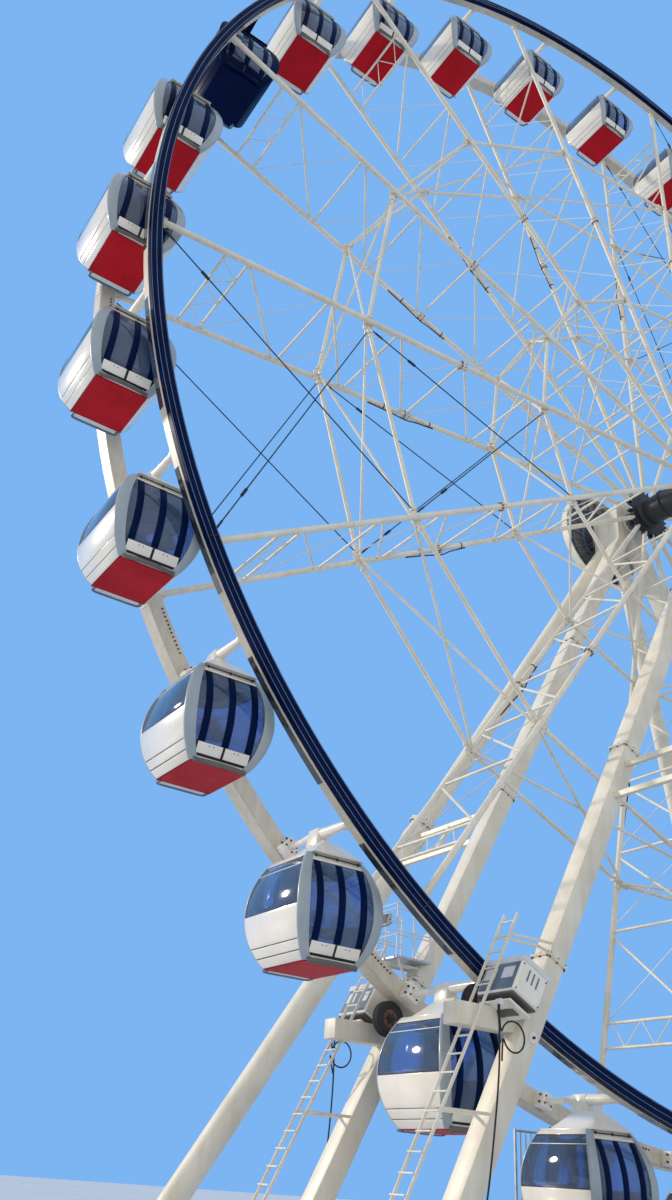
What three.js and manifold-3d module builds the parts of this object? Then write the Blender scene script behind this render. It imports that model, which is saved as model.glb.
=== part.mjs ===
// Ferris wheel: a tall wheel with fifteen trussed spokes and thirty hanging cabins, held on two A-frames.
// Units are millimetres, +Z is up and the axle runs along Y. The origin is on the ground under the hub.
import * as THREE from 'three';
import Module from 'manifold-3d';
import { mergeVertices } from 'three/addons/utils/BufferGeometryUtils.js';

const wasm = await Module();
wasm.setup();

// Driving dimensions of the wheel
const HUB_Z = 21000;
const SPOKES = 15;
const CABINS = 30;
const FIRST_SPOKE_DEG = 12;
const FIRST_CABIN_DEG = 6;
const SEAT = 0.3;

// Rims: rings with sixty flats, one under every spoke end and every cabin shaft
const RIM_SIDES = 60;
const NEAR_RIM = { inner: 18130, outer: 18390, y: [-1565, -1205] };
const FAR_RIM = { inner: 18080, outer: 18440, y: [1055, 1455] };
const SHAFT_R = 18260;
const SHAFT_RADIUS = 80;
const SHAFT_SIDES = 8;
const PIN_GAP = 0.5;

// Hub and axle
const FLANGE_R = 750;
const FLANGE_Y = [1015, 1195];
const BARREL_RADIUS = 430;
const AXLE_RADIUS = 150;
const AXLE_END = 2120;
const AXLE_SIDES = 16;

// Spokes: two chords joined by struts and diagonals
const CHORD_RADIUS = 70;
const CHORD_Y = [1105, 1265];
const BRACE = 60;
const STRUTS = [16470, 13770, 11740, 9720, 7380, 5220, 3240];
const DIAGONALS = [[16360, 13880], [13660, 11850], [11630, 9830], [9610, 7490], [7270, 5330], [5110, 3350]];

// Ring ties and stay cables
const OUTER_RING_R = 12580;
const INNER_RING_R = 6670;
const RING_TUBE = 100;
const CROSS_TIE = 70;
const TIE_SETBACK = 28;
const NODE_SIZE = 96;
const CABLE = 26;
const CABLE_LAYER = 17;
const CABLE_SIDE_STEP = 0.035;
const CABLE_BAYS = [2, 7, 12];

// Cabins, measured from the shaft that carries them
const CABIN_LEVELS = [
  { z: -550, half: 600, y: [-820, 470] },
  { z: -1150, half: 890, y: [-1070, 720] },
  { z: -1750, half: 890, y: [-1080, 730] },
  { z: -2380, half: 550, y: [-860, 530] },
];
const CABIN_WALL = 45;
const SIDE_WINDOW = { y: [-820, 480], z: [-1470, -740] };
const END_WINDOW = { half: 560, z: [-2030, -780] };
const CROWN = { bottom: 430, top: 300, z: [-570, -330], y: [-680, 380] };
const HANGER = { width: 190, y: [-330, 30], top: 120 };
const STEP_BAR = { half: 500, size: 100, drop: 60 };

// Supports
const BASE_TOP = 180;
const FOOT_X = 11100;
const LEG = 420;
const FRAME_Y = 1945;
const HEAD_HALF = 650;
const HEAD_TOP = 21650;
const OUTRIGGER = { upper: 230, lower: 305, flange: 370, jointZ: 10400 };
const OUTRIGGER_TOP = { y: 2400, z: 20900 };
const OUTRIGGER_FOOT_Y = 7820;
const SADDLE = { half: 600, y: [2155, 2800], z: [20150, 21450] };
const TIE_Z = [10000, 9200];
const TIE_SIZE = 120;
const COVER_RADIUS = 1650;
const COVER_Y = 3200;

// Base, deck and fences
const CROSS_BEAM = { width: 700, end: 8320 };
const SLEEPERS = [-5700, -2850, 0, 2850, 5700];
const SLEEPER_WIDTH = 200;
const DECK = { x: 6000, y: [-5000, 1700], top: 240 };
const RAIL_HEIGHT = 1100;
const POST = 60;
const GUARD = [[-5500, 3150], [-3400, 3150], [-2000, 1340], [2000, 1340], [3400, 3150], [5500, 3150]];

// Paints
const CREAM = 0xe9e2cf;
const NAVY = 0x1c2b4a;
const STEEL = 0x8d9399;
const DARK = 0x3b4a5c;

const rad = THREE.MathUtils.degToRad;
const vec = (x, y, z) => new THREE.Vector3(x, y, z);

function material(color, roughness = 0.45, metalness = 0.1) {
  return new THREE.MeshStandardMaterial({ color, roughness, metalness });
}

// Joining and cutting: a closed geometry becomes a solid and comes back
function solidOf(geometry) {
  const plain = geometry.clone();
  plain.deleteAttribute('normal');
  plain.deleteAttribute('uv');
  const merged = mergeVertices(plain, 0.0005);
  const corners = merged.index.array;
  const kept = [];
  for (let i = 0; i < corners.length; i += 3) {
    const [a, b, c] = corners.slice(i, i + 3);
    if (a !== b && b !== c && c !== a) kept.push(a, b, c);
  }
  const mesh = new wasm.Mesh({
    numProp: 3,
    vertProperties: new Float32Array(merged.attributes.position.array),
    triVerts: new Uint32Array(kept),
  });
  return new wasm.Manifold(mesh);
}

function geometryOf(solid) {
  const mesh = solid.getMesh();
  const geometry = new THREE.BufferGeometry();
  geometry.setAttribute('position', new THREE.BufferAttribute(new Float32Array(mesh.vertProperties), 3));
  geometry.setIndex(new THREE.BufferAttribute(new Uint32Array(mesh.triVerts), 1));
  geometry.computeVertexNormals();
  return geometry;
}

function join(geometries) {
  return geometries.map(solidOf).reduce((whole, next) => whole.add(next));
}

function piece(name, geometry, color) {
  const mesh = new THREE.Mesh(geometry, material(color));
  mesh.name = name;
  return mesh;
}

// Simple stock: a block between two corners, and a bar or a tube from point to point
function block(x, y, z) {
  const geometry = new THREE.BoxGeometry(x[1] - x[0], y[1] - y[0], z[1] - z[0]);
  geometry.translate((x[0] + x[1]) / 2, (y[0] + y[1]) / 2, (z[0] + z[1]) / 2);
  return geometry;
}

function along(geometry, from, to, side) {
  const axis = to.clone().sub(from).normalize();
  const across = side.clone().sub(axis.clone().multiplyScalar(side.dot(axis))).normalize();
  const third = new THREE.Vector3().crossVectors(across, axis);
  const turn = new THREE.Matrix4().makeBasis(across, axis, third);
  const middle = from.clone().add(to).multiplyScalar(0.5);
  return geometry.applyMatrix4(turn.setPosition(middle));
}

function bar(from, to, width, depth, side = vec(0, 1, 0)) {
  return along(new THREE.BoxGeometry(width, from.distanceTo(to), depth), from, to, side);
}

function tube(from, to, radius, sides, side = vec(0, 1, 0)) {
  return along(new THREE.CylinderGeometry(radius, radius, from.distanceTo(to), sides), from, to, side);
}

// A ring about the axle with flat sides: radii are measured to the flats
function flatRing(inner, outer, y, sides, cornerDeg) {
  const stretch = 1 / Math.cos(Math.PI / sides);
  const section = [[outer, y[0]], [outer, y[1]], [inner, y[1]], [inner, y[0]], [outer, y[0]]];
  const points = section.map(([r, h]) => new THREE.Vector2(r * stretch, h));
  return new THREE.LatheGeometry(points, sides, rad(cornerDeg + 180));
}

// A point at a radius and an angle, counted from straight down towards -X
function polar(radius, deg, y) {
  return vec(-radius * Math.sin(rad(deg)), y, -radius * Math.cos(rad(deg)));
}

function chordY(radius) {
  const share = (radius - FLANGE_R) / (NEAR_RIM.inner - FLANGE_R);
  return CHORD_Y[0] + share * (CHORD_Y[1] - CHORD_Y[0]);
}

// The spoke is drawn hanging straight down and then turned to its place
function chord(side, end) {
  const section = new THREE.CylinderGeometry(CHORD_RADIUS, CHORD_RADIUS, 1, 6);
  section.rotateY(Math.PI / 6);
  section.rotateX(Math.PI / 2);
  const position = section.attributes.position;
  const top = FLANGE_R + SEAT;
  for (let i = 0; i < position.count; i += 1) {
    const radius = position.getZ(i) > 0 ? top : end - SEAT;
    position.setXYZ(i, position.getX(i), position.getY(i) + side * chordY(radius), -radius);
  }
  return section;
}

function spokeGeometry() {
  const bars = [chord(-1, NEAR_RIM.inner), chord(1, FAR_RIM.inner)];
  for (const radius of STRUTS) {
    const y = chordY(radius);
    bars.push(bar(vec(0, -y, -radius), vec(0, y, -radius), BRACE, BRACE, vec(1, 0, 0)));
  }
  for (const [nearEnd, farEnd] of DIAGONALS) {
    const from = vec(0, -chordY(nearEnd), -nearEnd);
    bars.push(bar(from, vec(0, chordY(farEnd), -farEnd), BRACE, BRACE, vec(1, 0, 0)));
  }
  return geometryOf(join(bars));
}

function spokes() {
  const group = new THREE.Group();
  const shape = spokeGeometry();
  for (let i = 0; i < SPOKES; i += 1) {
    const spoke = piece(`spoke_${String(i + 1).padStart(2, '0')}`, shape.clone(), CREAM);
    spoke.rotation.y = rad(FIRST_SPOKE_DEG + (i * 360) / SPOKES);
    group.add(spoke);
  }
  return group;
}

function nearRim() {
  const corner = 180 / RIM_SIDES;
  return piece('near_rim', flatRing(NEAR_RIM.inner, NEAR_RIM.outer, NEAR_RIM.y, RIM_SIDES, corner), NAVY);
}

function farRim() {
  const corner = 180 / RIM_SIDES;
  return piece('far_rim', flatRing(FAR_RIM.inner, FAR_RIM.outer, FAR_RIM.y, RIM_SIDES, corner), CREAM);
}

function hub() {
  const parts = [tube(vec(0, -FLANGE_Y[1], 0), vec(0, FLANGE_Y[1], 0), BARREL_RADIUS, AXLE_SIDES, vec(1, 0, 0))];
  parts.push(tube(vec(0, -AXLE_END, 0), vec(0, AXLE_END, 0), AXLE_RADIUS, AXLE_SIDES, vec(1, 0, 0)));
  for (const side of [-1, 1]) {
    const y = side < 0 ? [-FLANGE_Y[1], -FLANGE_Y[0]] : FLANGE_Y;
    parts.push(flatRing(BARREL_RADIUS / 2, FLANGE_R, y, SPOKES, 0));
  }
  return piece('hub', geometryOf(join(parts)), DARK);
}

// One ring tie lies beside the chords of its plane, with its corners at the spokes
function ringPlaneY(radius) {
  const inclined = 1;
  return chordY(radius) - CHORD_RADIUS * Math.cos(rad(30)) - SEAT - inclined - RING_TUBE / 2;
}

function ringTie(radius, side) {
  const y = side * ringPlaneY(radius);
  const flat = radius * Math.cos(Math.PI / SPOKES);
  const half = RING_TUBE / 2;
  return flatRing(flat - half, flat + half, [y - half, y + half], SPOKES, FIRST_SPOKE_DEG);
}

function ringPoint(radius, bay, share, y) {
  const from = polar(radius, FIRST_SPOKE_DEG + (bay * 360) / SPOKES, y);
  const to = polar(radius, FIRST_SPOKE_DEG + ((bay + 1) * 360) / SPOKES, y);
  return from.lerp(to, share);
}

// Stay cables cross three bays, from the corners of an inner ring to the ring or rim outside it,
// and stop a hair short of the outer one's flat side
function stayCables(innerR, outer, side) {
  const cables = [];
  for (const bay of CABLE_BAYS) {
    for (const lean of [-1, 1]) {
      const innerShare = lean < 0 ? CABLE_SIDE_STEP : 1 - CABLE_SIDE_STEP;
      const layer = lean * CABLE_LAYER;
      const from = ringPoint(innerR, bay, innerShare, side * ringPlaneY(innerR) + layer);
      const to = ringPoint(outer.corner, bay, 1 - innerShare, side * outer.y + layer);
      const normal = polar(1, outer.flatDeg(bay, lean), 0);
      const axis = to.clone().sub(from).normalize();
      const lost = CABLE * Math.sqrt(1 - axis.dot(normal) ** 2);
      const reach = (outer.flat - SEAT - lost - from.dot(normal)) / axis.dot(normal);
      cables.push(tube(from, from.clone().addScaledVector(axis, reach), CABLE / 2, 3));
    }
  }
  return cables;
}

function outerRing(name, side) {
  const rim = side < 0 ? NEAR_RIM : FAR_RIM;
  const spokeStep = 360 / SPOKES;
  const outer = {
    corner: rim.inner,
    flat: rim.inner,
    y: 1265,
    flatDeg: (bay, lean) => FIRST_SPOKE_DEG + (lean < 0 ? bay + 1 : bay) * spokeStep,
  };
  const parts = [ringTie(OUTER_RING_R, side), ...stayCables(OUTER_RING_R, outer, side)];
  return piece(name, geometryOf(join(parts)), CREAM);
}

// Cross ties zigzag from plane to plane, so that all of them make one chain
function crossTies(radius, reachY) {
  const ties = [];
  for (let bay = 0; bay < SPOKES; bay += 1) {
    const side = bay % 2 === 0 ? 1 : -1;
    const from = ringPoint(radius, bay, 0, side * reachY);
    const to = ringPoint(radius, bay, 1, -side * reachY);
    const back = TIE_SETBACK / from.distanceTo(to);
    ties.push(tube(from.clone().lerp(to, back), to.clone().lerp(from, back), CROSS_TIE / 2, 6));
  }
  return ties;
}

function crossTieNode(name, radius) {
  const reachY = ringPlaneY(radius) - RING_TUBE / 2 - SEAT - NODE_SIZE / 2;
  const parts = crossTies(radius, reachY);
  for (let bay = 1; bay < SPOKES; bay += 1) {
    const side = bay % 2 === 0 ? 1 : -1;
    const centre = ringPoint(radius, bay, 0, side * reachY);
    parts.push(bar(centre.clone().setY(centre.y - NODE_SIZE / 2), centre.clone().setY(centre.y + NODE_SIZE / 2),
      NODE_SIZE, NODE_SIZE, centre.clone().setY(0)));
  }
  return piece(name, geometryOf(join(parts)), CREAM);
}

function innerRing(name, side) {
  const outer = {
    corner: OUTER_RING_R,
    flat: OUTER_RING_R * Math.cos(Math.PI / SPOKES) - RING_TUBE / 2,
    y: ringPlaneY(OUTER_RING_R),
    flatDeg: (bay) => FIRST_SPOKE_DEG + ((bay + 0.5) * 360) / SPOKES,
  };
  const parts = [ringTie(INNER_RING_R, side), ...stayCables(INNER_RING_R, outer, side)];
  return piece(name, geometryOf(join(parts)), CREAM);
}

// A profile in the X-Z plane drawn out along Y
function extrudeY(points, y, holes = []) {
  const shape = new THREE.Shape(points.map(([x, z]) => new THREE.Vector2(x, z)));
  for (const hole of holes) {
    shape.holes.push(new THREE.Path(hole.map(([x, z]) => new THREE.Vector2(x, z))));
  }
  const geometry = new THREE.ExtrudeGeometry(shape, { depth: y[1] - y[0], bevelEnabled: false });
  geometry.rotateX(Math.PI / 2);
  geometry.translate(0, y[1], 0);
  return geometry;
}

function roundHole(radiusToFlat, sides, z = 0) {
  const corner = radiusToFlat / Math.cos(Math.PI / sides);
  return Array.from({ length: sides }, (_, i) => {
    const angle = ((i + 0.5) * 2 * Math.PI) / sides;
    return [corner * Math.cos(angle), z + corner * Math.sin(angle)];
  });
}

function mirrored(profile) {
  const left = profile.map(([x, z]) => [-x, z]).reverse();
  return [...profile, ...left].reverse();
}

// A closed body stacked from level rectangles, each {z, half, y}, from the top one down
function stack(levels) {
  const points = levels.flatMap(({ z, half, y }) => [
    [-half, y[0], z], [half, y[0], z], [half, y[1], z], [-half, y[1], z]]);
  const last = points.length - 4;
  const index = [0, 1, 2, 0, 2, 3, last, last + 2, last + 1, last, last + 3, last + 2];
  for (let level = 0; level < last; level += 4) {
    for (let i = 0; i < 4; i += 1) {
      const [a, b] = [level + i, level + ((i + 1) % 4)];
      index.push(a, a + 4, b, b, a + 4, b + 4);
    }
  }
  const geometry = new THREE.BufferGeometry();
  geometry.setAttribute('position', new THREE.Float32BufferAttribute(points.flat(), 3));
  geometry.setIndex(index);
  return geometry;
}

function cabinShell() {
  const inner = CABIN_LEVELS.map(({ z, half, y }, i) => {
    const lift = { 0: -CABIN_WALL, [CABIN_LEVELS.length - 1]: CABIN_WALL }[i] ?? 0;
    const wall = CABIN_WALL * 1.15;
    return { z: z + lift, half: half - wall, y: [y[0] + wall, y[1] - wall] };
  });
  const reach = 1300;
  const sideGlass = solidOf(block([-reach, reach], SIDE_WINDOW.y, SIDE_WINDOW.z));
  const endGlass = solidOf(block([-END_WINDOW.half, END_WINDOW.half], [-reach, reach], END_WINDOW.z));
  return solidOf(stack(CABIN_LEVELS)).subtract(solidOf(stack(inner))).subtract(sideGlass).subtract(endGlass);
}

function cabinGeometry() {
  const crown = [[CROWN.bottom, CROWN.z[0]], [CROWN.top, CROWN.z[1]]];
  const hanger = [[HANGER.width, CROWN.z[1] - 10], [HANGER.width / 2 + 15, HANGER.top]];
  const lowest = CABIN_LEVELS[CABIN_LEVELS.length - 1];
  const floor = lowest.z;
  const bars = lowest.y.map((end, i) => {
    const inner = end + (i === 0 ? STEP_BAR.size : -STEP_BAR.size);
    const y = [Math.min(end, inner), Math.max(end, inner)];
    return block([-STEP_BAR.half, STEP_BAR.half], y, [floor - STEP_BAR.drop, floor + CABIN_WALL / 2]);
  });
  const ends = [NEAR_RIM.y[1] + PIN_GAP, FAR_RIM.y[0] - PIN_GAP].map((y) => vec(0, y, 0));
  const solid = cabinShell()
    .add(solidOf(extrudeY(mirrored(crown), CROWN.y)))
    .add(solidOf(extrudeY(mirrored(hanger), HANGER.y)))
    .add(solidOf(tube(ends[0], ends[1], SHAFT_RADIUS, SHAFT_SIDES, vec(1, 0, 0))))
    .add(join(bars));
  return geometryOf(solid);
}

function cabins() {
  const group = new THREE.Group();
  const shape = cabinGeometry();
  for (let i = 0; i < CABINS; i += 1) {
    const cabin = piece(`cabin_${String(i + 1).padStart(2, '0')}`, shape.clone(), CREAM);
    cabin.position.copy(polar(SHAFT_R, FIRST_CABIN_DEG + (i * 360) / CABINS, 0));
    group.add(cabin);
  }
  return group;
}

function wheel() {
  const group = new THREE.Group();
  group.position.z = HUB_Z;
  group.add(hub(), nearRim(), farRim(), outerRing('near_outer_ring', -1), outerRing('far_outer_ring', 1));
  group.add(innerRing('near_inner_ring', -1), innerRing('far_inner_ring', 1));
  group.add(crossTieNode('outer_cross_ties', OUTER_RING_R), crossTieNode('inner_cross_ties', INNER_RING_R));
  group.add(spokes(), cabins());
  return group;
}

// Supports: each A-frame is two box legs that meet in a head round the axle
function aFrame(name, side) {
  const slope = FOOT_X / (HUB_Z - BASE_TOP);
  const halfWide = (LEG / 2) * Math.sqrt(1 + slope ** 2);
  const foot = BASE_TOP + SEAT;
  const apex = foot + (FOOT_X - halfWide) / slope;
  const shoulder = foot + (FOOT_X + halfWide - HEAD_HALF) / slope;
  const chamfer = 200;
  const right = [[HEAD_HALF - chamfer, HEAD_TOP], [HEAD_HALF, HEAD_TOP - chamfer], [HEAD_HALF, shoulder],
    [FOOT_X + halfWide, foot], [FOOT_X - halfWide, foot]];
  const left = right.map(([x, z]) => [-x, z]).reverse();
  const outline = [...right, [0, apex], ...left].reverse();
  const y = side < 0 ? [-FRAME_Y - LEG / 2, -FRAME_Y + LEG / 2] : [FRAME_Y - LEG / 2, FRAME_Y + LEG / 2];
  const bore = roundHole(AXLE_RADIUS + 0.5, AXLE_SIDES, HUB_Z);
  const plates = [-1, 1].map((end) => {
    const x = [end * FOOT_X - LEG, end * FOOT_X + LEG];
    return block(x, [y[0] - 150, y[1] + 150], [foot, foot + 50]);
  });
  const parts = [extrudeY(outline, y, [bore]), ...plates, ...driveUnit(side)];
  return piece(name, geometryOf(join(parts)), CREAM);
}

// A drive unit stands out from the left leg: an arm, a tilted housing and a tyre just clear of the rim
const DRIVE = { tyreX: -9420, tyreRadius: 330, tyreWidth: 220, clear: 6 };
const HOUSING = { from: [-9480, 4640], to: [-9110, 5350], size: 620, y: [1620, 2600] };
const ARM = { end: -10400, y: [1620, 2000], z: [4300, 4660] };

function legX(z) {
  return (FOOT_X * (HUB_Z - z)) / (HUB_Z - BASE_TOP);
}

function driveUnit(side) {
  const rim = side < 0 ? NEAR_RIM : FAR_RIM;
  const rimCorner = rim.outer / Math.cos(Math.PI / RIM_SIDES);
  const centreR = rimCorner + DRIVE.clear + DRIVE.tyreRadius;
  const drop = Math.sqrt(centreR ** 2 - DRIVE.tyreX ** 2);
  const centre = vec(DRIVE.tyreX, (rim.y[0] + rim.y[1]) / 2, HUB_Z - drop);
  const half = DRIVE.tyreWidth / 2;
  const tyre = tube(centre.clone().setY(centre.y - half), centre.clone().setY(centre.y + half),
    DRIVE.tyreRadius, 14, vec(1, 0, 0));
  const spindle = tube(centre, centre.clone().setY(side * (HOUSING.y[0] + 100)), 90, 8, vec(1, 0, 0));
  const armY = ARM.y.map((y) => side * y).sort((a, b) => a - b);
  const arm = block([ARM.end, -legX(ARM.z[0])], armY, ARM.z);
  const housingY = (side * (HOUSING.y[0] + HOUSING.y[1])) / 2;
  const [from, to] = [HOUSING.from, HOUSING.to].map(([x, z]) => vec(x, housingY, z));
  const housing = bar(from, to, HOUSING.y[1] - HOUSING.y[0], HOUSING.size);
  return [tyre, spindle, arm, housing];
}

// Outriggers lean outwards from a saddle at the tower head, in two tube sizes bolted at a flange.
// The hub cover stands on the same saddle.
function outriggers(name, side) {
  const saddleY = SADDLE.y.map((y) => side * y).sort((a, b) => a - b);
  const parts = [block([-SADDLE.half, SADDLE.half], saddleY, SADDLE.z), hubCover(side)];
  for (const end of [-1, 1]) {
    const top = vec(0, side * OUTRIGGER_TOP.y, OUTRIGGER_TOP.z);
    const foot = vec(end * FOOT_X, side * OUTRIGGER_FOOT_Y, BASE_TOP);
    const axis = foot.clone().sub(top).normalize();
    const below = foot.clone().addScaledVector(axis, OUTRIGGER.lower * 2);
    const joint = top.clone().lerp(foot, (top.z - OUTRIGGER.jointZ) / (top.z - foot.z));
    parts.push(tube(top, joint, OUTRIGGER.upper, 8));
    parts.push(tube(joint, below, OUTRIGGER.lower, 8));
    parts.push(tube(joint.clone().addScaledVector(axis, -60), joint.clone().addScaledVector(axis, 60),
      OUTRIGGER.flange, 8));
    const x = [foot.x - LEG, foot.x + LEG];
    parts.push(block(x, [foot.y - LEG, foot.y + LEG], [BASE_TOP, BASE_TOP + 50]));
    const tieEnds = TIE_Z.map((z) => {
      const share = (OUTRIGGER_TOP.z - z) / (OUTRIGGER_TOP.z - BASE_TOP);
      const outer = top.clone().lerp(foot, share);
      const inner = vec(end * legX(z), side * (FRAME_Y + LEG / 2 - LEG / 4), z);
      parts.push(bar(inner, outer, TIE_SIZE, TIE_SIZE, vec(0, 0, 1)));
      return inner.clone().lerp(outer, 0.5);
    });
    parts.push(bar(tieEnds[0], tieEnds[1], TIE_SIZE, TIE_SIZE));
  }
  const reach = 30000;
  const frameFace = FRAME_Y + LEG / 2 + SEAT;
  const inside = side < 0 ? [-frameFace, reach] : [-reach, frameFace];
  const solid = join(parts)
    .subtract(solidOf(block([-reach, reach], inside, [-reach, reach])))
    .subtract(solidOf(block([-reach, reach], [-reach, reach], [-reach, BASE_TOP + SEAT])));
  return piece(name, geometryOf(solid), CREAM);
}

// A dished cover faces outwards in front of each tower head, on a short stem
function hubCover(side) {
  const front = COVER_Y + 120;
  const stem = SADDLE.y[1] - 50;
  const profile = [[0, stem], [250, stem], [250, COVER_Y - 60], [COVER_RADIUS * 0.72, COVER_Y - 20],
    [COVER_RADIUS, COVER_Y - 90], [COVER_RADIUS, COVER_Y + 20], [COVER_RADIUS * 0.72, front], [0, front + 30]];
  const points = profile.map(([r, y]) => new THREE.Vector2(r, side * y));
  if (side < 0) points.reverse();
  const geometry = new THREE.LatheGeometry(points, 16);
  geometry.translate(0, 0, HUB_Z);
  return geometry;
}

function fenceRun(stations, y, bottom, lift) {
  const parts = [];
  const half = POST / 2;
  for (const [x, top] of stations) {
    parts.push(block([x - half, x + half], [y - half, y + half], [bottom, top]));
  }
  for (let i = 0; i + 1 < stations.length; i += 1) {
    const [x0, top0] = stations[i];
    const [x1, top1] = stations[i + 1];
    parts.push(bar(vec(x0, y, top0 - half), vec(x1, y, top1 - half), POST * 0.8, POST * 0.8));
    parts.push(bar(vec(x0, y, lift), vec(x1, y, lift), POST * 0.8, POST * 0.8));
  }
  return parts;
}

function baseFrame() {
  const beamY = FRAME_Y - LEG / 2;
  const half = CROSS_BEAM.width / 2;
  const parts = [];
  for (const side of [-1, 1]) {
    const x = side * FOOT_X;
    parts.push(block([x - half, x + half], [-CROSS_BEAM.end, CROSS_BEAM.end], [0, BASE_TOP]));
    const y = side < 0 ? [-beamY - LEG, -beamY] : [beamY, beamY + LEG];
    parts.push(block([-FOOT_X, FOOT_X], y, [0, BASE_TOP]));
  }
  for (const x of SLEEPERS) {
    parts.push(block([x - SLEEPER_WIDTH / 2, x + SLEEPER_WIDTH / 2], [DECK.y[0], FRAME_Y], [0, BASE_TOP]));
  }
  parts.push(...fenceRun(GUARD, FRAME_Y, BASE_TOP - 20, BASE_TOP + 200));
  return piece('base_frame', geometryOf(join(parts)), STEEL);
}

function boardingDeck() {
  const bottom = DECK.top - 20;
  const top = DECK.top + RAIL_HEIGHT;
  const edge = DECK.x - POST;
  const nearY = DECK.y[0] + POST;
  const sideY = -2400;
  const parts = [block([-DECK.x, DECK.x], DECK.y, [BASE_TOP + SEAT, DECK.top])];
  for (const side of [-1, 1]) {
    const stations = [1200, 2800, 4370, edge].map((x) => [side * x, top]);
    parts.push(...fenceRun(stations, nearY, bottom, DECK.top + 160));
    const x = side * edge;
    parts.push(block([x - POST / 2, x + POST / 2], [sideY - POST, sideY], [bottom, top]));
    for (const z of [top - POST / 2, DECK.top + 160]) {
      parts.push(bar(vec(x, nearY, z), vec(x, sideY - POST / 2, z), POST * 0.8, POST * 0.8, vec(1, 0, 0)));
    }
  }
  return piece('boarding_deck', geometryOf(join(parts)), STEEL);
}

const ferrisWheel = new THREE.Group();
ferrisWheel.add(wheel(), aFrame('near_a_frame', -1), aFrame('far_a_frame', 1));
ferrisWheel.add(outriggers('near_outriggers', -1), outriggers('far_outriggers', 1));
ferrisWheel.add(baseFrame(), boardingDeck());

export default ferrisWheel;
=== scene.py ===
# %% [markdown]
# # Dressing a ferris wheel
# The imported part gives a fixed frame: every rim, spoke and cabin already sits where it belongs, in
# metres, and turns on its own body. This lesson gives each of them the look of the real wheel. It
# could be done by painting the plain solids, but thin glass, round tubes and bolts need shapes of
# their own, so most pieces are modelled here and stand in for the plain ones.

import math

import bpy
from mathutils import Matrix, Vector


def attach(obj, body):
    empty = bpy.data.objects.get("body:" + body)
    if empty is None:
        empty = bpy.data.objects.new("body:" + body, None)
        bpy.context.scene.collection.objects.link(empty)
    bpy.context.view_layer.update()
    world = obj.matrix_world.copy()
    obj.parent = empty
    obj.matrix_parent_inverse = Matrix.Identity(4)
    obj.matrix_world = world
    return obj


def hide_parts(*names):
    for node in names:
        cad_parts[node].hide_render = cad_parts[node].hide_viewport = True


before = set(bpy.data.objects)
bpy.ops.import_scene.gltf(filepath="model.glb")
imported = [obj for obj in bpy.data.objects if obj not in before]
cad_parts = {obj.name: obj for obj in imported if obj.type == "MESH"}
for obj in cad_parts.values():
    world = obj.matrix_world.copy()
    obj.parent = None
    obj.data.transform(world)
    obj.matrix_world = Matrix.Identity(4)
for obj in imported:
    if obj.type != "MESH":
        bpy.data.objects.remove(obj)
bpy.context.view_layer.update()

# %% [markdown]
# The same few sizes place everything: the height of the hub, the radii of the rims and ring ties,
# and the angles of spokes and cabins. They repeat the named values of the part's own source, so a
# piece lands on what carries it without any fitting by eye.

# %% Sizes of the wheel
HUB_Z, SHAFT_R = 21.0, 18.26
SPOKES, CABINS = 15, 30
SPOKE_STEP, CABIN_STEP = 360 / SPOKES, 360 / CABINS
FIRST_SPOKE, FIRST_CABIN = 12, 6
NAVY_CABIN = 10
AXLE = Vector((0, 0, HUB_Z))
SIDES = ((-1, "near"), (1, "far"))


def on_wheel(radius, degrees, y=0.0):
    """A point at a radius and an angle, counted from straight down towards -X."""
    a = math.radians(degrees)
    return Vector((-radius * math.sin(a), y, HUB_Z - radius * math.cos(a)))


def turned(degrees):
    """The turn about the axle that carries the lowest point to this angle."""
    about = Matrix.Rotation(math.radians(degrees), 4, "Y")
    return Matrix.Translation(AXLE) @ about @ Matrix.Translation(-AXLE)


bays = [turned(k * SPOKE_STEP) for k in range(SPOKES)]
at_spokes = [turned(FIRST_SPOKE + k * SPOKE_STEP) for k in range(SPOKES)]
at_cabins = [turned(FIRST_CABIN + k * CABIN_STEP) for k in range(CABINS)]
between_cabins = [turned(k * CABIN_STEP) for k in range(CABINS)]
print("hub at", AXLE[:], "spokes", SPOKES, "cabins", CABINS)

# %% [markdown]
# An operator works on everything that is selected, as it does by hand, so each piece starts from an
# empty selection. These helpers lay rods and blocks, join them, and copy a finished piece to its
# places. A real wheel is made the same way: bars of stock sizes, cut, bolted and repeated.

# %% Rods, blocks and joined pieces
def deselect():
    bpy.ops.object.select_all(action="DESELECT")


def coat(piece, material):
    piece.data.materials.clear()
    piece.data.materials.append(material)
    return piece


def edit(action="SELECT"):
    """Opens the active mesh for editing, with all of it or nothing selected."""
    bpy.ops.object.mode_set(mode="EDIT")
    bpy.ops.mesh.select_all(action=action)


def edit_faces(piece, test):
    """Opens a mesh with only the faces selected whose normal passes the test."""
    edit("DESELECT")
    bpy.ops.mesh.select_mode(type="FACE")
    bpy.ops.object.mode_set(mode="OBJECT")
    for face in piece.data.polygons:
        face.select = test(face.normal)
    bpy.ops.object.mode_set(mode="EDIT")


def leave_edit(edge=0.0, segments=1):
    """Rounds off all edges where a width is given, and closes the mesh."""
    bpy.ops.mesh.select_mode(type="VERT")
    bpy.ops.mesh.select_all(action="SELECT")
    if edge:
        bpy.ops.mesh.bevel(offset=edge, segments=segments, affect="EDGES")
    bpy.ops.object.mode_set(mode="OBJECT")


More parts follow.
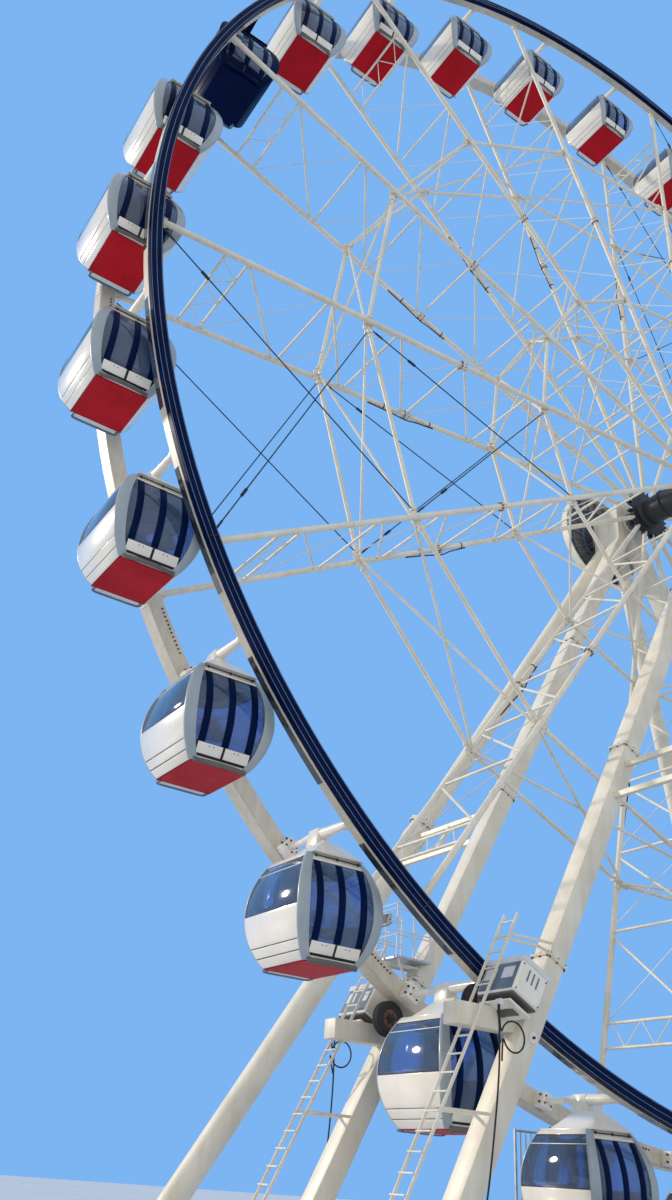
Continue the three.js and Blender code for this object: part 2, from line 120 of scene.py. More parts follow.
def rod(start, end, radius, material, sides=12, tip=None):
    """A round bar from point to point, or a tapered one where tip is given."""
    start, end = Vector(start), Vector(end)
    turn = (end - start).to_track_quat("Z", "Y").to_euler()
    deselect()
    bpy.ops.mesh.primitive_cone_add(
        vertices=sides, radius1=radius, radius2=radius if tip is None else tip,
        depth=(end - start).length, location=(start + end) / 2, rotation=turn)
    return coat(bpy.context.object, material)


def disc(middle, axis, first, last, radius, material, sides=12, tip=None):
    """A rod whose ends are given as two distances from a point along an axis."""
    middle, axis = Vector(middle), Vector(axis)
    return rod(middle + axis * first, middle + axis * last, radius, material, sides, tip)


def block(low, high, material, edge=0.0, segments=1):
    """A box between two corners, with its edges rounded off."""
    low, high = Vector(low), Vector(high)
    deselect()
    bpy.ops.mesh.primitive_cube_add(size=1, location=(low + high) / 2)
    box = bpy.context.object
    box.scale = high - low
    bpy.ops.object.transform_apply(location=False, rotation=False, scale=True)
    if edge:
        edit()
        leave_edit(edge, segments)
    return coat(box, material)


def beam(start, end, width, depth, material, edge=0.004, side=(0, 1, 0)):
    """A square bar from point to point. Its depth lies along side."""
    start, end = Vector(start), Vector(end)
    axis = (end - start).normalized()
    across = axis.cross(Vector(side)).normalized()
    third = axis.cross(across)
    size = Vector((width, depth, (end - start).length)) / 2
    bar = block(-size, size, material, edge)
    turn = Matrix((across, third, axis)).transposed().to_4x4()
    if turn.determinant() < 0:
        turn = Matrix((-across, third, axis)).transposed().to_4x4()
    bar.data.transform(Matrix.Translation((start + end) / 2) @ turn)
    return bar


def settle(piece, name, smooth=35):
    """Puts a piece's place into its mesh, and shades its rounded faces smooth."""
    deselect()
    piece.select_set(True)
    bpy.context.view_layer.objects.active = piece
    bpy.ops.object.transform_apply(location=True, rotation=True, scale=True)
    if smooth:
        bpy.ops.object.shade_smooth_by_angle(angle=math.radians(smooth))
    piece.name = piece.data.name = name
    return piece


def join(pieces, name, smooth=35):
    deselect()
    for piece in pieces:
        piece.select_set(True)
    bpy.context.view_layer.objects.active = pieces[0]
    if len(pieces) > 1:
        bpy.ops.object.join()
    return settle(bpy.context.object, name, smooth)


def copied(model, place):
    """A copy with its own mesh, moved by a matrix."""
    copy = model.copy()
    copy.data = model.data.copy()
    copy.data.transform(place)
    bpy.context.collection.objects.link(copy)
    return copy


def repeated(pieces, places, name):
    """Joins pieces into one model, and makes one piece of the model's copies. The model goes."""
    model = join(pieces, "model")
    copies = [copied(model, place) for place in places]
    bpy.data.objects.remove(model)
    return join(copies, name, smooth=0)


def hanging(points, radius, material, sides=8):
    """A cable or bent bar: a curve along the points, made a mesh tube."""
    deselect()
    bpy.ops.curve.primitive_nurbs_path_add()
    line = bpy.context.object
    line.data.splines.clear()
    spline = line.data.splines.new("NURBS")
    spline.points.add(len(points) - 1)
    for point, at in zip(spline.points, points):
        point.co = (*at, 1)
    spline.use_endpoint_u = True
    spline.order_u = 4
    spline.resolution_u = 6
    line.data.bevel_depth = radius
    line.data.bevel_resolution = sides // 4
    line.data.use_fill_caps = True
    line.location = (0, 0, 0)
    bpy.ops.object.convert(target="MESH")
    return coat(bpy.context.object, material)


def circle(count, radius, start=0.0):
    """Points round a circle, as pairs of its cosine and sine parts."""
    angles = [math.radians(start + 360 / count * k) for k in range(count)]
    return [(radius * math.cos(a), radius * math.sin(a)) for a in angles]


def mirrored(side, inner, outer):
    """Two limits in Y on one side of the wheel, in rising order."""
    return sorted((side * inner, side * outer))


def faces_of(*pieces):
    return sum(len(p.vertices) - 2 for piece in pieces for p in piece.data.polygons)


# %% [markdown]
# Painted steel is never one flat colour: rain leaves pale streaks, dust gathers, and the gloss
# changes a little from place to place. One material maker mixes these from noise on the piece's own
# coordinates, so the pattern stays put when the wheel turns and needs no picture.

# %% Paint, gloss and grime
def set_inputs(node, values):
    for name, value in values.items():
        node.inputs[name].default_value = value


def add_node(tree, kind, values=None, **settings):
    """A new node, with its own settings and the values of its inputs."""
    node = tree.nodes.new("ShaderNode" + kind)
    for name, value in settings.items():
        setattr(node, name, value)
    set_inputs(node, values or {})
    return node


def wire(tree, *links):
    for source, output, target, into in links:
        tree.links.new(source.outputs[output], target.inputs[into])


def ramp(tree, *stops):
    """A colour ramp between two stops, each a position and a colour."""
    node = add_node(tree, "ValToRGB")
    for element, (position, colour) in zip(node.color_ramp.elements, stops):
        element.position = position
        element.color = (*colour, 1)
    return node


def new_material(name, values):
    material = bpy.data.materials.new(name)
    material.use_nodes = True
    shader = material.node_tree.nodes["Principled BSDF"]
    set_inputs(shader, values)
    return material, material.node_tree, shader


def paint(name, colour, second, roughness=0.4, coat_weight=0.0, metallic=0.0, streaks=0.35,
          scale=1.3, specular=0.5):
    """A paint that drifts between two colours, with streaks down its height and a fine bump."""
    material, tree, shader = new_material(name, {"Metallic": metallic, "Coat Weight": coat_weight,
                                                 "Specular IOR Level": specular, "Coat Roughness": 0.08})
    place = add_node(tree, "TexCoord")
    drift = add_node(tree, "TexNoise", {"Scale": scale, "Detail": 5})
    stretch = add_node(tree, "Mapping", {"Scale": (9, 9, 0.5)})
    rain = add_node(tree, "TexNoise", {"Scale": 1.0, "Detail": 3})
    both = add_node(tree, "Mix", {"Factor": streaks})
    tone = ramp(tree, (0.36, second), (0.6, colour))
    gloss = add_node(tree, "MapRange", {"To Min": roughness * 1.35, "To Max": roughness * 0.8})
    fine = add_node(tree, "TexNoise", {"Scale": 55})
    bump = add_node(tree, "Bump", {"Strength": 0.03, "Distance": 0.004})
    wire(tree, (place, "Object", drift, "Vector"), (place, "Object", stretch, "Vector"),
         (stretch, "Vector", rain, "Vector"), (place, "Object", fine, "Vector"),
         (drift, "Fac", both, "A"), (rain, "Fac", both, "B"), (both, "Result", tone, "Fac"),
         (both, "Result", gloss, "Value"), (tone, "Color", shader, "Base Color"),
         (gloss, "Result", shader, "Roughness"), (fine, "Fac", bump, "Height"),
         (bump, "Normal", shader, "Normal"))
    return material


cream = paint("cream_paint", (0.84, 0.79, 0.67), (0.72, 0.65, 0.52), 0.42)
rim_cream = paint("rim_cream", (0.72, 0.65, 0.52), (0.58, 0.50, 0.39), 0.36, 0.25)
lacquer = paint("cabin_lacquer", (0.92, 0.87, 0.78), (0.85, 0.79, 0.68), 0.2, 0.7, streaks=0.2)
hoop_silver = paint("hoop_silver", (0.38, 0.44, 0.47), (0.31, 0.37, 0.41), 0.3, 0.4)
rail_white = paint("rail_white", (0.74, 0.76, 0.76), (0.64, 0.66, 0.67), 0.35, 0.2)
navy = paint("navy_paint", (0.001, 0.010, 0.060), (0.001, 0.006, 0.034), 0.34, streaks=0.5,
             specular=0.04)
# Dark gloss for the sheets on the near rim: painted shade for the cabins' shadow and reflection.
cabin_shadow_paint = paint("cabin_shadow_paint", (0.030, 0.042, 0.056), (0.020, 0.024, 0.030), 0.16, 0.8)
slate = paint("slate_paint", (0.17, 0.23, 0.31), (0.10, 0.14, 0.20), 0.45)
hub_dark = paint("hub_dark", (0.040, 0.041, 0.046), (0.022, 0.023, 0.027), 0.42, metallic=0.4)
cover_grey = paint("cover_grey", (0.27, 0.24, 0.20), (0.18, 0.16, 0.13), 0.55)
taupe = paint("taupe_paint", (0.15, 0.135, 0.125), (0.10, 0.09, 0.085), 0.45)
seat_tan = paint("seat_tan", (0.50, 0.39, 0.25), (0.40, 0.30, 0.19), 0.5, scale=5)
steel = paint("grey_steel", (0.52, 0.54, 0.56), (0.38, 0.40, 0.43), 0.38, metallic=0.75, scale=6)
dark_iron = paint("dark_iron", (0.055, 0.055, 0.06), (0.03, 0.03, 0.035), 0.5, metallic=0.6)
cable_blue = paint("cable_blue", (0.010, 0.045, 0.090), (0.008, 0.030, 0.060), 0.5)
rust = paint("rust_bolts", (0.20, 0.085, 0.055), (0.11, 0.045, 0.032), 0.6, scale=9)
rubber = paint("rubber", (0.022, 0.022, 0.025), (0.035, 0.033, 0.032), 0.75, scale=8)
floor_red = paint("floor_red", (0.56, 0.004, 0.014), (0.44, 0.003, 0.010), 0.5, specular=0.15)
lamp_strip = paint("lamp_strip", (0.16, 0.22, 0.33), (0.11, 0.16, 0.26), 0.3, 0.2)
print("paints", len(bpy.data.materials))

# %% [markdown]
# The cabins are glazed with tinted sheet. Real tinted glass reflects the sky, darkens what is
# behind it and still lets light through, so it is glass with a blue-grey colour and not a painted
# panel. The sheets have thickness, as a refracting shader needs.

# %% Tinted glass
def tinted_glass(name, tint):
    material, tree, shader = new_material(name, {"Transmission Weight": 0.88, "IOR": 1.5,
                                                 "Coat Weight": 0.25, "Coat Roughness": 0.03})
    place = add_node(tree, "TexCoord")
    film = add_node(tree, "TexNoise", {"Scale": 1.6})
    tone = ramp(tree, (0, [v * 0.8 for v in tint]), (1, tint))
    haze = add_node(tree, "MapRange", {"To Min": 0.02, "To Max": 0.09})
    wire(tree, (place, "Object", film, "Vector"), (film, "Fac", tone, "Fac"),
         (film, "Fac", haze, "Value"), (tone, "Color", shader, "Base Color"),
         (haze, "Result", shader, "Roughness"))
    return material


glass = tinted_glass("tinted_glass", (0.34, 0.50, 0.80))
print("glass", glass.name)

# %% [markdown]
# A cabin's skin is a barrel: widest at half height, and its ends bulge as well. Two small formulas
# give the half width and the bulge at each height, and every panel is a grid laid on that barrel and
# then given thickness. A real maker presses or moulds the panels over one form in the same way, so
# neighbours meet without a step.

# %% The barrel that all cabin panels follow
TOP_Z, WAIST_Z, FLOOR_Z = -0.55, -1.45, -2.38
WAIST_HALF, NEAR_END, FAR_END = 0.884, -0.78, 0.43
END_BULGE, HOOP_WRAP = 0.33, 0.05


def half_width(z):
    reach = 1.23 if z > WAIST_Z else 1.18
    return WAIST_HALF * math.sqrt(max(0.0, 1 - ((z - WAIST_Z) / reach) ** 2))


def bulge(z):
    """How much of the full bulge is left at a height: all of it at the waist."""
    return 1 - (z + 1.5) ** 2


def end_y(z, end):
    """Where an end face stands at a height: end is -1 for the near door side, 1 for the far one."""
    return (NEAR_END if end < 0 else FAR_END) + end * END_BULGE * bulge(z)


def hoop_width(z):
    return 0.12 + 0.10 * bulge(z)


def laid_grid(across, up, place, thickness, material, edge=0.0):
    """A flat grid whose points are laid on the barrel by place(u, v), then given thickness."""
    deselect()
    bpy.ops.mesh.primitive_grid_add(x_subdivisions=across, y_subdivisions=up, size=2)
    panel = bpy.context.object
    for vertex in panel.data.vertices:
        vertex.co = place((vertex.co.x + 1) / 2, (vertex.co.y + 1) / 2)
    wall = panel.modifiers.new("wall", "SOLIDIFY")
    wall.thickness = thickness
    wall.offset = -1
    bpy.ops.object.modifier_apply(modifier="wall")
    if edge:
        soft = panel.modifiers.new("edge", "BEVEL")
        soft.width = edge
        soft.segments = 2
        soft.limit_method = "ANGLE"
        soft.angle_limit = math.radians(50)
        bpy.ops.object.modifier_apply(modifier="edge")
    return coat(panel, material)


def side_panel(side, low, high, material, proud=0.0, up=6, thickness=0.02, pull=0.0):
    """A panel of the side wall between two heights. pull draws both its ends in."""
    def place(u, v):
        z = low + (high - low) * v
        first, last = end_y(z, -1) + HOOP_WRAP + pull, end_y(z, 1) - HOOP_WRAP - pull
        y = first + (last - first) * (1 - u if side < 0 else u)
        return Vector((side * (half_width(z) + proud), y, z))
    return laid_grid(2, up, place, thickness, material, 0.004)


def end_panel(end, low, high, left, right, material, proud=0.0, up=6, thickness=0.02, share=False):
    """A panel of an end face between two heights. With share, left and right are parts of the width."""
    def place(u, v):
        z = low + (high - low) * v
        reach = half_width(z) - hoop_width(z) + 0.01 if share else 1
        across = left + (right - left) * (1 - u if end < 0 else u)
        return Vector((-across * reach, end_y(z, end) + end * proud, z))
    return laid_grid(2, up, place, thickness, material, 0.003)


print("waist", WAIST_HALF, "floor", round(half_width(FLOOR_Z), 3), "roof", round(half_width(TOP_Z), 3))

# %% [markdown]
# The wide silver hoop at each edge of an end face is the frame that side and end are fixed to. It
# lies flat on the end, turns round the corner and meets the side panel. It is widest at the waist,
# like a crescent, so it is laid on the same barrel with a width that follows the bulge.

# %% Corner hoops
def corner_hoop(side, end):
    def place(u, v):
        z = FLOOR_Z + (TOP_Z - FLOOR_Z) * v
        across = u if side * end > 0 else 1 - u
        wide, face = half_width(z), end_y(z, end)
        start = Vector((side * (wide + 0.004), face - end * HOOP_WRAP, z))
        corner = Vector((side * (wide + 0.004), face + end * 0.008, z))
        bend = Vector((side * (wide - 0.05), face + end * 0.012, z))
        stop = Vector((side * (wide - hoop_width(z)), face + end * 0.014, z))
        if across > 0.7:
            return bend.lerp(stop, (across - 0.7) / 0.3)
        step = across / 0.7
        return start.lerp(corner, step).lerp(corner.lerp(bend, step), step)
    return laid_grid(7, 17, place, 0.03, hoop_silver, 0.005)


parts = [corner_hoop(side, end) for side in (-1, 1) for end in (-1, 1)]
print("hoops", faces_of(*parts), "faces")

# %% [markdown]
# Each side wall has a tinted window over a glossy panel, then a skirt, a dark joint and a rounded
# bottom rail. The window sits a little behind its dark seal, which is what draws the thin black line
# round it, and a pale strip divides it near the top.

# %% Side walls
BELT_Z, SKIRT_Z, RAIL_Z = -1.54, -2.08, -2.245
SIDE_PANELS = (
    (TOP_Z - 0.09, TOP_Z, lacquer, 0.0, 3), (TOP_Z - 0.11, TOP_Z - 0.09, rubber, -0.006, 2),
    (BELT_Z, BELT_Z + 0.016, rubber, -0.002, 2), (SKIRT_Z + 0.006, BELT_Z, lacquer, 0.004, 8),
    (RAIL_Z + 0.012, SKIRT_Z - 0.006, lacquer, 0.0, 5),
    (RAIL_Z - 0.004, RAIL_Z + 0.014, rubber, -0.012, 2), (FLOOR_Z, RAIL_Z - 0.004, lacquer, 0.005, 5),
    (TOP_Z - 0.262, TOP_Z - 0.248, rail_white, 0.001, 2))
parts += [side_panel(side, *panel) for side in (-1, 1) for panel in SIDE_PANELS]
panes = [side_panel(side, BELT_Z + 0.016, TOP_Z - 0.11, glass, -0.006, 10, 0.012) for side in (-1, 1)]
print("side walls", faces_of(*parts), "faces")

# %% [markdown]
# The near end holds two sliding doors: tall curved glass with three dark posts, and a white panel
# at the foot of each door, over a black sill slot. The far end has the same glazing. The white
# panels stay bare here, as does the red underside.

# %% Ends with doors and posts
HEAD_Z, SILL_Z, SLOT_Z = -0.71, -2.07, -2.27
POST_X, POST_HALF = 0.455, 0.066
END_PANELS = (
    (HEAD_Z + 0.012, TOP_Z, lacquer, 0.0, 3), (HEAD_Z, HEAD_Z + 0.014, rubber, -0.006, 2),
    (FLOOR_Z, SLOT_Z - 0.03, lacquer, 0.0, 4), (SLOT_Z - 0.03, SLOT_Z, rubber, -0.012, 2),
    (SLOT_Z, SILL_Z, rubber, -0.008, 4))
for end in (-1, 1):
    parts += [end_panel(end, low, high, -1, 1, material, proud, up, share=True)
              for low, high, material, proud, up in END_PANELS]
    parts += [end_panel(end, SILL_Z, HEAD_Z, x - POST_HALF, x + POST_HALF, navy, 0.012, 12, 0.03)
              for x in (-POST_X, 0, POST_X)]
    parts += [end_panel(end, SLOT_Z + 0.012, SILL_Z - 0.008, left, left + 0.475, lacquer, 0.008, 4,
                        0.016) for left in (-0.50, 0.025)]
    panes.append(end_panel(end, SILL_Z, HEAD_Z, -1, 1, glass, -0.004, 12, 0.012, share=True))
    parts += [disc((x, end_y(-2.12, end), -2.12), (0, end, 0), 0, 0.016, 0.010, dark_iron, 8)
              for x in (-0.28, -0.20, 0.20, 0.28)]
    y = end_y(-0.60, end) + end * 0.03
    parts.append(rod((-0.50, y, -0.60), (0.50, y, -0.60), 0.011, dark_iron, 8))
    parts += [beam((x, y - end * 0.04, -0.60), (x, y, -0.60), 0.03, 0.05, dark_iron, 0.003, (0, 0, 1))
              for x in (-0.45, 0, 0.45)]
print("ends", faces_of(*parts), "faces")

# %% [markdown]
# Roof, crown and hanger carry the cabin. The crown is a hipped box, steepest above the doors, and a
# dark lining closes the roof from inside. The hanger post rises from it to the shaft between the
# rims. Both are bevelled blocks whose top faces are scaled in, which is the quickest way to a
# hipped form.

# %% Roof, crown and hanger
def tapered(low, high, top_x, top_y, material, edge):
    """A block whose top face is scaled in, with softened edges."""
    box = block(low, high, material)
    edit_faces(box, lambda normal: normal.z > 0.9)
    middle = ((low[0] + high[0]) / 2, (low[1] + high[1]) / 2, high[2])
    bpy.ops.transform.resize(value=(top_x, top_y, 1), center_override=middle)
    leave_edit(edge, 2)
    return box


crown = tapered((-0.54, -0.78, TOP_Z), (0.54, 0.42, -0.20), 0.26, 0.40, lacquer, 0.014)
for vertex in crown.data.vertices:
    if vertex.co.z > -0.3:
        vertex.co.y -= 0.14
parts += [
    block((-0.59, -0.79, TOP_Z - 0.03), (0.59, 0.445, TOP_Z + 0.012), lacquer, 0.01, 2),
    crown,
    block((-0.52, -0.72, TOP_Z - 0.06), (0.52, 0.36, TOP_Z - 0.04), slate),
    block((-0.20, -0.76, TOP_Z), (0.20, -0.52, -0.45), lacquer, 0.012, 2),
    tapered((-0.16, -0.34, -0.36), (0.16, 0.04, 0.10), 0.66, 0.9, lacquer, 0.016),
]
parts += [rod((0, first, 0), (0, last, 0), radius, material, sides, tip=tip)
          for first, last, radius, material, sides, tip in (
              (-0.36, 0.06, 0.105, lacquer, 24, None), (-1.204, 1.054, 0.066, lacquer, 20, None),
              (-0.36, -1.15, 0.105, lacquer, 20, 0.078), (-1.204, -1.13, 0.11, rail_white, 20, None),
              (0.06, 0.30, 0.09, rail_white, 20, 0.072))]
parts += [disc((x, y, TOP_Z), (0, 0, 1), 0, 0.05, 0.018, dark_iron, 8)
          for x in (-0.44, 0.44) for y in (-0.60, 0.32)]
print("roof", faces_of(*parts), "faces")

# %% [markdown]
# Under the cabin the red floor plate reaches to the panels all round. A curved grey step stands below
# the doors, and at the far end a round bar bends about a white tread.

# %% Floor and steps
def step_face(u, v):
    turn = math.radians(-62 + 124 * v)
    bow = 0.05 * (1 - (2 * u - 1) ** 2)
    reach = end_y(FLOOR_Z, -1) - bow - 0.06 * math.cos(turn)
    return Vector((0.50 - u, reach, FLOOR_Z + 0.004 + 0.036 * math.sin(turn)))


BAR_Y, BAR_Z = 0.62, FLOOR_Z - 0.012
half_bar = [(0.47, 0.44), (0.485, 0.53), (0.478, 0.585), (0.43, BAR_Y), (0.20, BAR_Y)]
bar = [(-x, y, BAR_Z) for x, y in half_bar] + [(x, y, BAR_Z) for x, y in reversed(half_bar)]
parts += [
    block((-0.53, -0.835, FLOOR_Z - 0.012), (0.53, 0.488, FLOOR_Z + 0.03), floor_red, 0.006),
    block((-0.51, -0.80, FLOOR_Z + 0.03), (0.51, 0.46, FLOOR_Z + 0.05), rubber),
    laid_grid(11, 7, step_face, 0.02, taupe, 0.004),
    hanging(bar, 0.027, slate, 8),
    block((-0.44, 0.47, BAR_Z - 0.004), (0.44, BAR_Y - 0.035, BAR_Z + 0.018), rail_white, 0.005),
]
print("floor and steps", faces_of(*parts), "faces")

# %% [markdown]
# Two benches face each other behind the side panels, and they show through the doors. A seat is a
# bevelled slab on a plain base, and the back leans on the barrel's wall, so it is laid on the barrel
# a little inside the panel.

# %% Benches
for side in (-1, 1):
    x0, x1 = mirrored(side, 0.30, 0.66)
    parts.append(block((x0, -0.66, -1.98), (x1, 0.30, -1.88), seat_tan, 0.03, 2))
    x0, x1 = mirrored(side, 0.36, 0.56)
    parts.append(block((x0, -0.62, FLOOR_Z + 0.05), (x1, 0.26, -1.98), rail_white, 0.01))
    parts.append(side_panel(side, -1.88, -1.50, seat_tan, -0.08, 3, 0.05, pull=0.30))
print("cabin", faces_of(*parts), "faces")

# %% [markdown]
# The finished cabin is joined into a body and its panes, and copied to the thirty shafts. Each copy
# has its own mesh and rides on its own cabin body, so it stays level as the wheel turns. One cabin
# of the real wheel is painted navy all over.

# %% Thirty cabins
cabin_model = join(parts, "cabin_model")
pane_model = join(panes, "pane_model")
cabins = []
for i in range(CABINS):
    number = f"{i + 1:02d}"
    place = Matrix.Translation(on_wheel(SHAFT_R, FIRST_CABIN + i * CABIN_STEP))
    body = copied(cabin_model, place)
    body.name = body.data.name = f"cabin_body_{number}"
    if i + 1 == NAVY_CABIN:
        for k, material in enumerate(body.data.materials):
            if material in (lacquer, rail_white, hoop_silver, floor_red, taupe):
                body.data.materials[k] = navy
    pane = copied(pane_model, place)
    pane.name = pane.data.name = f"cabin_panes_{number}"
    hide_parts(f"cabin_{number}")
    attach(body, f"cabin_{number}_body")
    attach(pane, f"cabin_{number}_body")
    cabins += [body, pane]
for model in (cabin_model, pane_model):
    bpy.data.objects.remove(model)
print("thirty cabins", faces_of(*cabins), "faces")

# %% [markdown]
# The rims are rolled box sections. A short outline of the section is drawn under the hub and spun
# round the axle, which gives a smooth ring where the plain solid has flats. The near rim carries a
# dark face towards the camera, with three dim lamp strips on it, and the far rim is plain.

# %% Rims
NEAR_RIM_IN, NEAR_RIM_OUT, NEAR_FACE, NEAR_BACK = 18.13, 18.395, -1.562, -1.205
FAR_RIM_IN, FAR_RIM_OUT, FAR_FACE, FAR_BACK = 18.08, 18.43, 1.055, 1.455
STRIP_RADII = (18.148, 18.262, 18.378)


def spun_ring(section, material, steps=240, side=1):
    """Spins a closed outline of (radius, y) points round the axle. side -1 mirrors it in Y."""
    deselect()
    bpy.ops.mesh.primitive_circle_add(vertices=len(section), radius=1)
    ring = bpy.context.object
    for vertex, (radius, y) in zip(ring.data.vertices, section):
        vertex.co = (0, side * y, HUB_Z - radius)
    edit()
    bpy.ops.mesh.spin(steps=steps, angle=2 * math.pi, center=AXLE, axis=(0, 1, 0))
    bpy.ops.mesh.select_all(action="SELECT")
    bpy.ops.mesh.remove_doubles(threshold=0.0005)
    bpy.ops.mesh.normals_make_consistent(inside=False)
    leave_edit()
    return coat(ring, material)


def boxed(inner, outer, y0, y1, c):
    """The outline of a box section with its corners cut by c."""
    return [(inner + c, y0), (outer - c, y0), (outer, y0 + c), (outer, y1 - c),
            (outer - c, y1), (inner + c, y1), (inner, y1 - c), (inner, y0 + c)]


near_rim = [spun_ring(boxed(NEAR_RIM_IN, NEAR_RIM_OUT, -1.43, NEAR_BACK, 0.012), rim_cream),
            spun_ring(boxed(NEAR_RIM_IN - 0.002, NEAR_RIM_OUT + 0.001, NEAR_FACE, -1.425, 0.008), navy)]
near_rim += [spun_ring(boxed(radius - 0.006, radius + 0.006, -1.565, -1.555, 0.002), lamp_strip)
             for radius in STRIP_RADII]
near_rim = join(near_rim, "near_rim_ring")
far_rim = join([spun_ring(boxed(FAR_RIM_IN, FAR_RIM_OUT, FAR_FACE, FAR_BACK, 0.018), rim_cream)],
               "far_rim_ring")
for ring, node, look in ((near_rim, "near_rim", "navy_paint"), (far_rim, "far_rim", "cream_paint")):
    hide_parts(node)
    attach(ring, "wheel")
print("rims", faces_of(near_rim), faces_of(far_rim), "faces")

# %% [markdown]
# Each rim is bolted together from fifteen segments. On the far rim a thin plate lies round the
# outside of a joint, and a row of bolt heads beside it holds the inner lap plate. One splice is
# modelled at the bottom and turned round the axle.

# %% Splices
def bolt(point, normal, radius=0.02, height=0.022):
    return disc(point, normal, 0, height, radius, dark_iron, 6)


far_z = HUB_Z - FAR_RIM_OUT
y0, y1 = FAR_FACE + 0.05, FAR_BACK - 0.05
parts = [block((-0.22, y0, far_z - 0.006), (0.22, y1, far_z + 0.004), cream, 0.002)]
parts += [bolt((x, y, far_z - 0.006), (0, 0, -1), 0.016, 0.004)
          for x in (-0.16, -0.06, 0.06, 0.16) for y in (y0 + 0.05, y1 - 0.05)]
parts += [bolt(on_wheel(18.18, -1.2 - 0.28 * k, FAR_FACE), (0, -1, 0), 0.019, 0.02) for k in range(12)]
parts.append(block((-0.007, 1.051, far_z), (0.007, 1.06, HUB_Z - 18.09), dark_iron))
parts.append(block((-0.008, -1.566, HUB_Z - 18.396), (0.008, -1.50, HUB_Z - 18.13), dark_iron))
splices = repeated(parts, at_spokes, "rim_splices")
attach(splices, "wheel")
print("splices", faces_of(splices), "faces")

# %% [markdown]
# Between the cabin shafts, dark glossy sheets lie on the outside of the near rim: painted shade for
# the shadow and reflection that the cabins throw on it. One sheet curves over eight degrees, laid out
# as a narrow grid and given thickness, with a white strap and a bare brown strip at its end. It is
# turned to all thirty places, and stays thinner than the gap to the drive tyre.

# %% Painted cabin shadows on the near rim
SHADOW_Y0, SHADOW_Y1 = -1.365, -1.21


def shadow_point(u, v):
    return on_wheel(18.399, -3.2 + 8 * u, SHADOW_Y0 + (SHADOW_Y1 - SHADOW_Y0) * v)


def across_rim(radius, degrees, width, thick, material):
    start, end = [on_wheel(radius, degrees, y) for y in (SHADOW_Y0, SHADOW_Y1)]
    return beam(start, end, width, thick, material)


# The dark sheet is painted shade; the white strap and brown strip mark the rim joint.
parts = [laid_grid(8, 1, shadow_point, 0.004, cabin_shadow_paint),
         across_rim(18.398, -3.32, 0.035, 0.010, lacquer),
         across_rim(18.396, -3.48, 0.050, 0.006, rust)]
cabin_shadows = repeated(parts, between_cabins, "rim_cabin_shadows")
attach(cabin_shadows, "wheel")
print("cabin_shadows", faces_of(cabin_shadows), "faces")

# %% [markdown]
# A cabin's shaft is held in a clamp box on the far rim and in a bearing plate on the near rim. Both
# belong to the wheel, so they turn with it while the shaft stays with the level cabin.

# %% Shaft clamps
parts = [block((-0.145, 0.79, -0.145), (0.145, 1.054, 0.145), lacquer, 0.014, 2),
         rod((0, -1.204, 0), (0, -1.190, 0), 0.115, cream, 20)]
parts += [block((x - 0.02, 0.93, -0.10), (x + 0.02, 1.054, 0.10), cream, 0.006) for x in (-0.15, 0.15)]
for z in (-0.07, 0.07):
    for x in (-1, 1):
        parts.append(bolt((x * 0.145, 0.87, z), (x, 0, 0), 0.022, 0.035))
        parts.append(bolt((x * 0.09, 0.79, z), (0, -1, 0), 0.020, 0.02))
down_to_shaft = Matrix.Translation((0, 0, HUB_Z - SHAFT_R))
clamps = repeated(parts, [place @ down_to_shaft for place in at_cabins], "shaft_clamps")
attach(clamps, "wheel")
print("clamps", faces_of(clamps), "faces")

# %% [markdown]
# A spoke is a flat truss: two tubes, struts between them, sloping braces and thin crossed rods. It
# is modelled hanging straight down from the hub, with the bolted flange at its middle where the real
# one comes apart for transport. A black lead bridges the flange on the far tube. The truss is then
# turned to its fifteen places.

# %% Spokes
ROOT_R, NEAR_TIP, FAR_TIP, ROOT_Y = 0.75, 18.13, 18.08, 1.105
OUTER_R, INNER_R, FLANGE_R = 12.58, 6.67, 9.68
STRUTS = (16.47, 15.92, 13.77, 11.74, 9.72, 7.38, 5.22, 3.24)
BRACES = ((15.92, 13.88), (13.66, 11.85), (11.63, 9.83), (9.61, 7.49), (7.27, 5.33), (5.11, 3.35))
LEAD = ((-0.95, 0.085), (-0.70, 0.10), (-0.30, 0.11), (-0.12, 0.17), (0.12, 0.17), (0.45, 0.12),
        (0.95, 0.10), (1.25, 0.085))


def chord_y(radius):
    return ROOT_Y + (radius - ROOT_R) / (NEAR_TIP - ROOT_R) * 0.16


def chord_point(radius, side):
    return Vector((0, side * chord_y(radius), HUB_Z - radius))


parts = []
for side, tip in ((-1, NEAR_TIP), (1, FAR_TIP)):
    parts.append(rod(chord_point(ROOT_R, side), chord_point(tip, side), 0.07, cream, 18))
    axis = (chord_point(tip, side) - chord_point(ROOT_R, side)).normalized()
    middle = chord_point(FLANGE_R, side)
    parts += [disc(middle, axis, step, step + 0.03, 0.125, cream, 24) for step in (-0.035, 0.004)]
    parts += [disc(middle + Vector((x, y, 0)), axis, -0.075, 0.075, 0.017, rust, 6)
              for x, y in circle(8, 0.10)]
    if side > 0:
        lead = [middle + axis * along + Vector((out, 0, 0)) for along, out in LEAD]
        parts.append(hanging(lead, 0.017, rubber, 4))
        parts += [disc(middle, axis, along - 0.015, along + 0.015, 0.079, dark_iron, 14)
                  for along in (-0.80, 0.75)]
    y, z = side * chord_y(tip), HUB_Z - tip + 0.02
    parts.append(block((-0.16, y - 0.07, HUB_Z - tip), (0.16, y + 0.07, z), cream, 0.004))
    parts += [block((x - 0.008, y - 0.05, z), (x + 0.008, y + 0.05, z + 0.18), cream)
              for x in (-0.09, 0.09)]
parts += [rod(chord_point(radius, -1), chord_point(radius, 1), 0.034, cream, 12) for radius in STRUTS]
